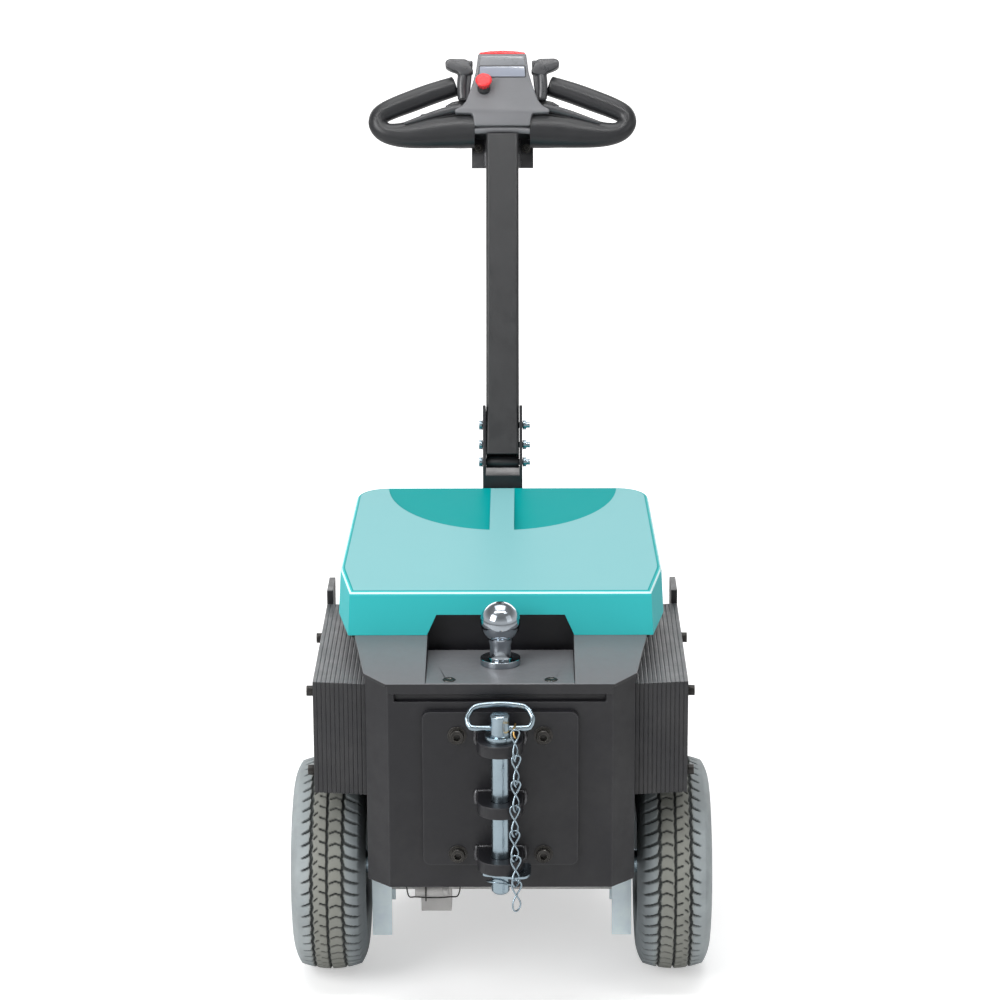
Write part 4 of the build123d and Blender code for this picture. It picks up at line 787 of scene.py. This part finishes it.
def chain_piece():
    wire, length, width = 0.00115, 0.0400, 0.0116
    start = chain_high.z - 0.001
    count = int((start - chain_low.z - 0.006) / (length - 2 * wire * 1.9))
    pitch = (start - chain_low.z - length - 0.0005) / max(1, count)
    parts = []
    for i in range(count + 1):
        top = (CHAIN_X + 0.0011 * math.sin(i * 1.3), CHAIN_Y + 0.0007 * math.cos(i * 1.7), start - i * pitch)
        parts.append(twisted_link(top, length, width, wire, 12.0 + 84.0 * i + (90.0 if i % 2 else 0.0)))
    add_piece("Pin_chain", joined(parts), "zinc", "chassis", ("pin_chain",), smooth=60.0)


def chain_ring_piece():
    """Small split ring that ties the chain's top link to the handle."""
    centre = Vector((CHAIN_X - 0.001, (CHAIN_Y + PIN.y) / 2, LUG_TOP + 0.0165))
    reach = abs(PIN.y - CHAIN_Y) / 2 + 0.0045
    pts = [centre + Vector((0.0012 * math.sin(2 * t), math.cos(t) * reach, math.sin(t) * 0.0062))
           for t in turns(40)]
    ring = tube(pts, 0.0011, closed=True, sides=10)
    add_piece("Chain_ring", ring, "brass", "chassis", smooth=60.0)


def pin_clip_piece():
    """Linch clip: flat tongue under the bottom lug and a sprung wire ring round the pin's tip."""
    low, high = box("pin_clip")
    cx = CHAIN_X
    outline = corner_round([(low.x, low.y + 0.010), (cx - 0.008, low.y), (cx + 0.012, low.y),
                            (high.x, low.y + 0.012), (high.x, high.y), (low.x, high.y)], 0.005)
    hole = [(0.0115 * math.cos(t), PIN.y + 0.0115 * math.sin(t)) for t in turns(40)]
    eye = [(cx + 0.0032 * math.cos(t), chain_low.y + 0.0048 + 0.0030 * math.sin(t)) for t in turns(20)]
    ring = [PIN + Vector((0.0165 * math.cos(t), 0.0165 * math.sin(t), 0.0125 - 0.0065 * math.sin(t + 0.4)))
            for t in turns(48)]
    parts = [holed_plate([outline, hole, eye], low.z, high.z), tube(ring, 0.0011, closed=True, sides=10)]
    add_piece("Pin_clip", joined(parts), "zinc", "chassis", ("pin_clip",), smooth=40.0)


tow_pin_piece()
pin_handle_piece()
chain_piece()
chain_ring_piece()
pin_clip_piece()


# ---------------------------------------------------------------- slot sheet, tray screws and brake
def slot_backing():
    """Sheet behind the slot under the deck's lip."""
    front = box("chassis_box")[0].y
    tray = box("ball_tray")[0].z
    half, near, far = 0.1288, front + 0.0062, front + 0.0074
    plan = [(-half, near), (half, near), (half, far), (-half, far)]
    axes = [Vector(v) for v in ((1, 0, 0), (0, 1, 0), (0, 0, 1))]
    sheet = slab(plan, Vector((0, 0, 0)), axes, (tray - 0.0195, tray - 0.004), 0.0003)
    add_piece("Slot_backing", sheet, "paint", "chassis")


def tray_screw_heads():
    """Small screws that hold the ball's tray."""
    low, high = box("tray_screws")
    profile = rounded([(0.0, 0.0), (0.0078, 0.0), (0.0074, 0.0008), (0.0042, 0.0008), (0.0036, -0.0004),
                       (0.0, -0.0004)], 0.0002)
    parts = [lathe(profile, (x, (low.y + high.y) / 2, high.z), (0, 0, 1), 40)
             for x in (low.x + 0.008, high.x - 0.008)]
    add_piece("Tray_screw_heads", joined(parts), "oxide", "chassis", smooth=30.0)


def brake_cylinder():
    """Small cylinder on the left drive unit and the thin wire bail that hangs in front of it."""
    top = box("chassis_box")[0].z + 0.001
    y = box("drive_motor_left")[0].y - 0.006
    z = box("chassis_box")[0].z - 0.060
    profile = rounded([(0.0, 0.0), (0.0078, 0.0), (0.0078, 0.034), (0.0062, 0.036), (0.0062, 0.043),
                       (0.0, 0.043)], 0.0008)
    bail = [(-0.122, y, top), (-0.121, y, z - 0.002), (-0.108, y, z - 0.0092), (-0.068, y, z - 0.0092),
            (-0.054, y, z - 0.001), (-0.052, y, top)]
    hanger = [(-0.097, y - 0.0085, top), (-0.097, y - 0.0085, z - 0.006), (-0.097, y - 0.002, z - 0.0092)]
    wires = [tube(spline(pts, steps=6), 0.0009, sides=10) for pts in (bail, hanger)]
    body = lathe(profile, (-0.111, y, z), (1, 0, 0), 36)
    add_piece("Brake_cylinder", body, "motor", "chassis", smooth=35.0)
    add_piece("Brake_bail", joined(wires), "oxide", "chassis", smooth=60.0)


slot_backing()
tray_screw_heads()
brake_cylinder()


# ---------------------------------------------------------------- steering head, in the tiller's own frame
tilt = [j for j in frame["joints"] if j["name"] == "tiller_tilt"][0]
PIVOT = Vector(tilt["pos_m"])
LEAN = math.radians(25.0)
ACROSS = Vector((1.0, 0.0, 0.0))
ALONG = Vector((0.0, math.sin(LEAN), math.cos(LEAN)))
OUT = Vector((0.0, -math.cos(LEAN), math.sin(LEAN)))


def at(x, s, n):
    """World place of a point given in millimetres across, along and out of the tiller."""
    return PIVOT + (ACROSS * x + ALONG * s + OUT * n) * MM


def head_slab(points, low, high, bevel, corners=0.0, segments=3):
    """Plate in the tiller's face plane, in millimetres."""
    plan = corner_round(points, corners) if corners else points
    return slab([(x * MM, s * MM) for x, s in plan], PIVOT, (ACROSS, ALONG, OUT), (low * MM, high * MM),
                bevel * MM, segments)


def both_sides(points):
    """Outline from the points of its right half."""
    return points + [(-x, s) for x, s in reversed(points)]


def console_pieces():
    plan = both_sides([(31.0, 572.5), (36.0, 545.0), (50.0, 503.0), (51.0, 490.0), (43.0, 473.0),
                       (42.0, 462.0)])
    shell = head_slab(plan, -29.0, 10.0, 4.0, 6.0, 4)
    add_piece("Head_shell", shell, "plastic", "tiller", ("head_console",))
    plan = both_sides([(33.5, 573.0), (37.0, 546.0), (43.0, 525.0), (50.0, 506.0), (56.0, 498.5),
                       (66.0, 493.0), (65.0, 488.5), (42.5, 487.5), (40.5, 484.0), (38.5, 470.0)])
    add_piece("Head_cover", head_slab(plan, 9.0, 22.0, 2.4, 2.0, 4), "console", "tiller")
    lip = spline([at(x, 464.5 + 1.8 * (1 - (x / 40.0) ** 2), 12.5) for x in range(-40, 41, 10)], steps=4)
    add_piece("Head_lip", tube(lip, 0.0046, sides=16), "console", "tiller", smooth=60.0)
    recess = head_slab([(-31.0, 556.5), (31.0, 556.5), (29.5, 569.5), (-29.5, 569.5)], 21.0, 22.35, 0.25, 2.5)
    add_piece("Head_badge_recess", recess, "panel", "tiller")


def display_piece():
    window = head_slab([(-32.0, 540.0), (32.0, 540.0), (31.0, 554.5), (-31.0, 554.5)], 21.0, 22.8, 0.3, 1.6)
    add_piece("Display_window", window, "display", "tiller", ("display",))
    frame_line = corner_round([(-32.8, 539.2), (32.8, 539.2), (31.8, 555.2), (-31.8, 555.2)], 1.8, 4)
    rim = tube([at(x, s, 22.2) for x, s in frame_line], 0.0005, closed=True, sides=8)
    add_piece("Display_rim", rim, "plastic", "tiller", smooth=60.0)


def bumper_piece():
    plan = [(-32.5, 571.5), (32.5, 571.5), (31.5, 575.4), (16.0, 577.6), (0.0, 578.2), (-16.0, 577.6),
            (-31.5, 575.4)]
    add_piece("Belly_switch", head_slab(plan, -24.0, 19.5, 1.8, 1.0, 3), "red", "tiller", ("bumper",))


def oval(side, x, s, n, up, deep, turn, count=28):
    """Oval ring on one side: up along the tiller, deep out of it, and turned about the out direction."""
    along = ALONG * math.cos(turn) + ACROSS * math.sin(turn)
    ring = [at(x, s, n) + (along * math.cos(t) * up + OUT * math.sin(t) * deep) * MM for t in turns(count)]
    return [Vector((side * p.x, p.y, p.z)) for p in ring]


# across, along, out, half height, half depth of the guard from its root to the inner end of the grip
LOOP = ((38.0, 470.5, -2.0, 26.0, 20.0), (58.0, 471.0, -2.0, 27.0, 19.0), (80.0, 469.5, -1.0, 25.5, 17.0),
        (104.0, 466.5, 0.0, 23.0, 15.5), (128.0, 463.5, 0.0, 19.5, 14.5), (147.0, 463.0, 0.0, 16.5, 13.8),
        (162.0, 466.0, 0.0, 14.2, 13.5), (171.0, 473.5, -0.5, 13.5, 13.5), (173.5, 483.0, -1.0, 13.4, 13.5),
        (169.0, 492.5, -1.5, 13.7, 13.5), (153.0, 501.5, -2.0, 14.6, 13.5), (126.0, 512.5, -3.0, 15.2, 13.5),
        (99.0, 523.0, -4.0, 15.0, 13.5), (66.5, 534.0, -5.0, 14.2, 13.5))
# the same measures of the moulded shoulder that carries the console's flare out onto the arm
SHOULDER = ((57.0, 497.5, 15.0, 5.5, 6.5), (68.0, 496.0, 13.5, 5.5, 6.0), (82.0, 493.0, 12.0, 5.2, 5.5),
            (98.0, 488.5, 11.0, 4.6, 5.0), (116.0, 482.5, 10.5, 3.8, 4.4), (136.0, 476.0, 10.0, 2.6, 3.4))
# seam round the outer cover of the arm
SEAM = ((44.0, 487.0, 13.8), (60.0, 487.0, 13.6), (80.0, 484.0, 12.4), (104.0, 479.0, 12.0),
        (128.0, 473.0, 11.9), (150.0, 468.5, 11.9))
WEB = ((47.0, 500.0), (50.0, 513.0), (70.0, 509.0), (80.0, 503.0), (70.0, 498.0))
GRIP_R = 13.5


def across_path(along):
    """Turn of a section that stands square to the path's direction."""
    return math.atan2(along.x, along.y) - math.pi / 2


def grip_loop_piece(word, side):
    path = spline([row[:3] for row in LOOP], steps=7)
    sizes = spline([(*row[3:], 0.0) for row in LOOP], steps=7)
    rings = []
    for i, (place, size) in enumerate(zip(path, sizes)):
        turn = across_path(path[min(len(path) - 1, i + 1)] - path[max(0, i - 1)])
        rings.append(oval(side, *place, size.x, size.y, turn))
    last = (path[-1] - path[-2]).normalized()
    for share, beyond in ((0.94, 0.9), (0.80, 1.5)):
        r = GRIP_R * share
        rings.append(oval(side, *(path[-1] + last * beyond), r, r, across_path(last)))
    add_piece("Grip_loop_" + word, skin(rings), "grip", "tiller", ("grip_loop_" + word,), smooth=50.0)


def arm_pieces(word, side):
    """The arm's seam, its moulded shoulder, and the web between arm and grip."""
    seam = tube(spline([at(side * x, s, n) for x, s, n in SEAM], steps=6), 0.0008, sides=8)
    add_piece("Arm_seam_" + word, seam, "gap", "tiller", smooth=60.0)
    shoulder = skin([oval(side, *row, 0.3, 20) for row in SHOULDER])
    add_piece("Arm_shoulder_" + word, shoulder, "lever", "tiller", smooth=50.0)
    web = head_slab([(side * x, s) for x, s in WEB], -9.0, 5.0, 1.5)
    add_piece("Grip_web_" + word, web, "plastic", "tiller")


def lever_piece(word, side):
    """Thumb lever: stem, hooked top and the round boss over both."""
    stem = [(47.0, 509.0), (61.0, 509.0), (62.5, 547.0), (54.0, 566.0), (41.0, 566.0), (44.0, 533.0)]
    hook = [(40.0, 549.0), (44.0, 545.0), (59.0, 542.5), (63.0, 548.5), (72.0, 551.5), (79.0, 555.5),
            (79.5, 564.0), (74.0, 567.5), (51.0, 567.0), (45.0, 563.0)]
    ridge = [(55.0, 512.0, 9.0), (56.0, 527.0, 10.5), (55.5, 541.0, 11.0), (54.0, 551.0, 10.0)]
    parts = [head_slab([(side * x, s) for x, s in stem], -2.0, 14.0, 3.0, 3.0, 4),
             head_slab([(side * x, s) for x, s in hook], 3.0, 19.0, 2.6, 3.0, 4),
             tube(spline([at(side * x, s, n) for x, s, n in ridge], steps=5), 0.0072, sides=20)]
    add_piece("Thumb_lever_" + word, joined(parts), "lever", "tiller", ("thumb_lever_" + word,), smooth=40.0)


def stop_button_piece():
    """Mushroom button on a round collar, with ribs under its cap."""
    tip = math.radians(24.0)
    axis = OUT * math.cos(tip) + ALONG * math.sin(tip)
    foot = at(-25.5, 523.0, 21.0)
    collar = rounded([(0.0, -0.002), (0.0090, -0.002), (0.0090, 0.0035), (0.0078, 0.0050), (0.0078, 0.0085),
                      (0.0, 0.0085)], 0.0007)
    cap = rounded([(0.0, 0.008), (0.0074, 0.008), (0.0082, 0.0125), (0.0108, 0.0160), (0.0116, 0.0178),
                   (0.0114, 0.0196), (0.0096, 0.0210), (0.0050, 0.0216), (0.0, 0.0218)], 0.0006)
    add_piece("Stop_button", lathe(cap, foot, axis), "red", "tiller", ("stop_button",), smooth=50.0)
    add_piece("Stop_collar", lathe(collar, foot, axis), "plastic", "tiller", smooth=40.0)
    _, a, b = basis(axis)
    spokes = [a * math.cos(t) + b * math.sin(t) for t in turns(12)]
    ribs = [tube([foot + d * 0.0080 + axis * 0.0085, foot + d * 0.0090 + axis * 0.0130], 0.0006, sides=6)
            for d in spokes]
    add_piece("Stop_button_ribs", joined(ribs), "red", "tiller", smooth=60.0)


def head_plate_pieces():
    """Plate behind the head, its two screws, and its welds along the tube."""
    plate = head_slab(both_sides([(43.0, 463.0), (43.0, 421.5)]), -27.5, -22.5, 0.8)
    add_piece("Head_plate", plate, "paint", "tiller", ("head_plate",))
    parts = []
    for place in (at(-33.5, 449.0, -22.5), at(33.5, 449.0, -22.5)):
        parts.append(socket_screw(place, OUT, 0.0052, 0.0052, knurls=16))
        parts.append(washer(place, OUT, 0.0068, 0.0009, 0.004, 0.0003, 32))
    add_piece("Head_plate_screws", joined(parts), "oxide", "tiller", smooth=30.0)
    welds = [weld_bead([at(side * 23.5, s, -21.5) for s in (421.5, 432.0, 446.0, 461.0)], 0.0024, side)
             for side in (-1, 1)]
    add_piece("Tube_welds", joined(welds), "weld", "tiller", smooth=60.0)


def cable_nub():
    nub = head_slab([(-115.0, 486.0), (-97.0, 489.0), (-98.0, 494.0), (-114.0, 491.0)], -6.0, 6.0, 1.6)
    add_piece("Cable_nub", nub, "plastic", "tiller")


console_pieces()
display_piece()
bumper_piece()
for word, side in (("left", -1), ("right", 1)):
    grip_loop_piece(word, side)
    arm_pieces(word, side)
    lever_piece(word, side)
stop_button_piece()
head_plate_pieces()
cable_nub()


# ---------------------------------------------------------------- stage
# height of the world's direction, from 0 straight down to 1 straight up, and its brightness
SKY = ((0.0, 0.80), (0.50, 0.92), (0.62, 0.95), (0.70, 0.55), (0.80, 0.34), (1.0, 0.42))
MIDDLE = (0, 0, 0.5)


def fresh_tree(owner):
    owner.use_nodes = True
    owner.node_tree.nodes.clear()
    return owner.node_tree


def seen_or_lit(tree, lit, seen, out):
    """One shader for the light in the scene and another for what the camera sees directly."""
    path = node_of(tree, "LightPath").outputs["Is Camera Ray"]
    mix = node_of(tree, "MixShader", path, lit.outputs[0], seen.outputs[0])
    node_of(tree, out, mix.outputs["Shader"])


def studio_world():
    """Soft graded light all round, and plain white where the camera looks past the floor."""
    world = bpy.data.worlds.new("Studio")
    bpy.context.scene.world = world
    t = fresh_tree(world)
    direction = node_of(t, "TexCoord").outputs["Generated"]
    height = node_of(t, "SeparateXYZ", direction).outputs["Z"]
    ramp = node_of(t, "ValToRGB", spread(t, height, -1.0, 1.0))
    stops = ramp.color_ramp.elements
    for place, value in SKY:
        stop = stops[0] if place == 0.0 else stops[-1] if place == 1.0 else stops.new(place)
        stop.color = grey(value)
    lit = node_of(t, "Background", ramp.outputs["Color"], 0.85)
    white = node_of(t, "Background", grey(1.0), 1.0)
    seen_or_lit(t, lit, white, "OutputWorld")


def studio_floor():
    """Matt floor that fades to white with distance for the camera."""
    r = 30.0
    mesh = bpy.data.meshes.new("Floor")
    mesh.from_pydata([(-r, -r, 0), (r, -r, 0), (r, r, 0), (-r, r, 0)], [], [(0, 1, 2, 3)])
    floor = bpy.data.objects.new("Floor", mesh)
    bpy.context.scene.collection.objects.link(floor)
    material = bpy.data.materials.new("Studio_floor")
    mesh.materials.append(material)
    t = fresh_tree(material)
    place = node_of(t, "TexCoord").outputs["Object"]
    tone = node_of(t, "ValToRGB", node_of(t, "TexNoise", Vector=place, Scale=3.0, Detail=2.0).outputs["Fac"])
    tone.color_ramp.elements[0].color = grey(0.79)
    tone.color_ramp.elements[1].color = grey(0.81)
    matt = node_of(t, "BsdfDiffuse", tone.outputs["Color"])
    far = node_of(t, "VectorMath", place)
    far.operation = "LENGTH"
    fade = spread(t, far.outputs["Value"], 0.9, 3.0, 0.43, 1.0)
    glow = node_of(t, "Emission", Strength=fade)
    bright = node_of(t, "AddShader", matt.outputs["BSDF"], glow.outputs["Emission"])
    seen_or_lit(t, matt, bright, "OutputMaterial")


def lamp(name, place, target, width, power, height=None):
    data = bpy.data.lights.new(name, "AREA")
    data.shape = "RECTANGLE"
    data.size = width
    data.size_y = height or width
    data.energy = power
    o = bpy.data.objects.new(name, data)
    o.location = place
    o.rotation_euler = (Vector(target) - Vector(place)).to_track_quat("-Z", "Y").to_euler()
    o.visible_camera = False
    bpy.context.scene.collection.objects.link(o)


def camera():
    data = bpy.data.cameras.new("Camera")
    data.sensor_width = 36.0
    data.lens = 118.44
    data.clip_end = 100.0
    pitch, yaw, roll = math.radians(16.0), math.radians(0.5), -0.0047
    forward = Vector((-math.sin(yaw) * math.cos(pitch), math.cos(yaw) * math.cos(pitch), -math.sin(pitch)))
    level = Vector((math.cos(yaw), math.sin(yaw), 0.0))
    upright = level.cross(forward)
    right = level * math.cos(roll) + upright * math.sin(roll)
    up = upright * math.cos(roll) - level * math.sin(roll)
    o = bpy.data.objects.new("Camera", data)
    turned = Matrix((right, up, -forward)).transposed().to_4x4()
    o.matrix_world = Matrix.Translation(BALL + Vector((0.034, -3.848, 1.259))) @ turned
    bpy.context.scene.collection.objects.link(o)
    bpy.context.scene.camera = o


studio_world()
studio_floor()
camera()
lamp("Key", (-2.6, -2.6, 2.6), MIDDLE, 2.2, 104.0)
lamp("Fill", (2.8, -2.0, 2.0), MIDDLE, 2.0, 8.0)
lamp("Top", (0.0, 0.6, 3.6), MIDDLE, 2.4, 40.0)
lamp("Back", (0.0, 4.2, 1.45), (0, 0, 1.2), 6.0, 62.0, height=1.6)
lamp("Strip", (0.0, -0.9, 2.8), (0, -0.1, 0.5), 2.6, 24.0, height=0.16)
bpy.context.scene.view_settings.view_transform = "Standard"

for name in NODES:
    if name not in REPLACED and name not in ("castor_tyre", "hood"):
        soften(name, 0.0030 if name == "chassis_box" else 0.0008)
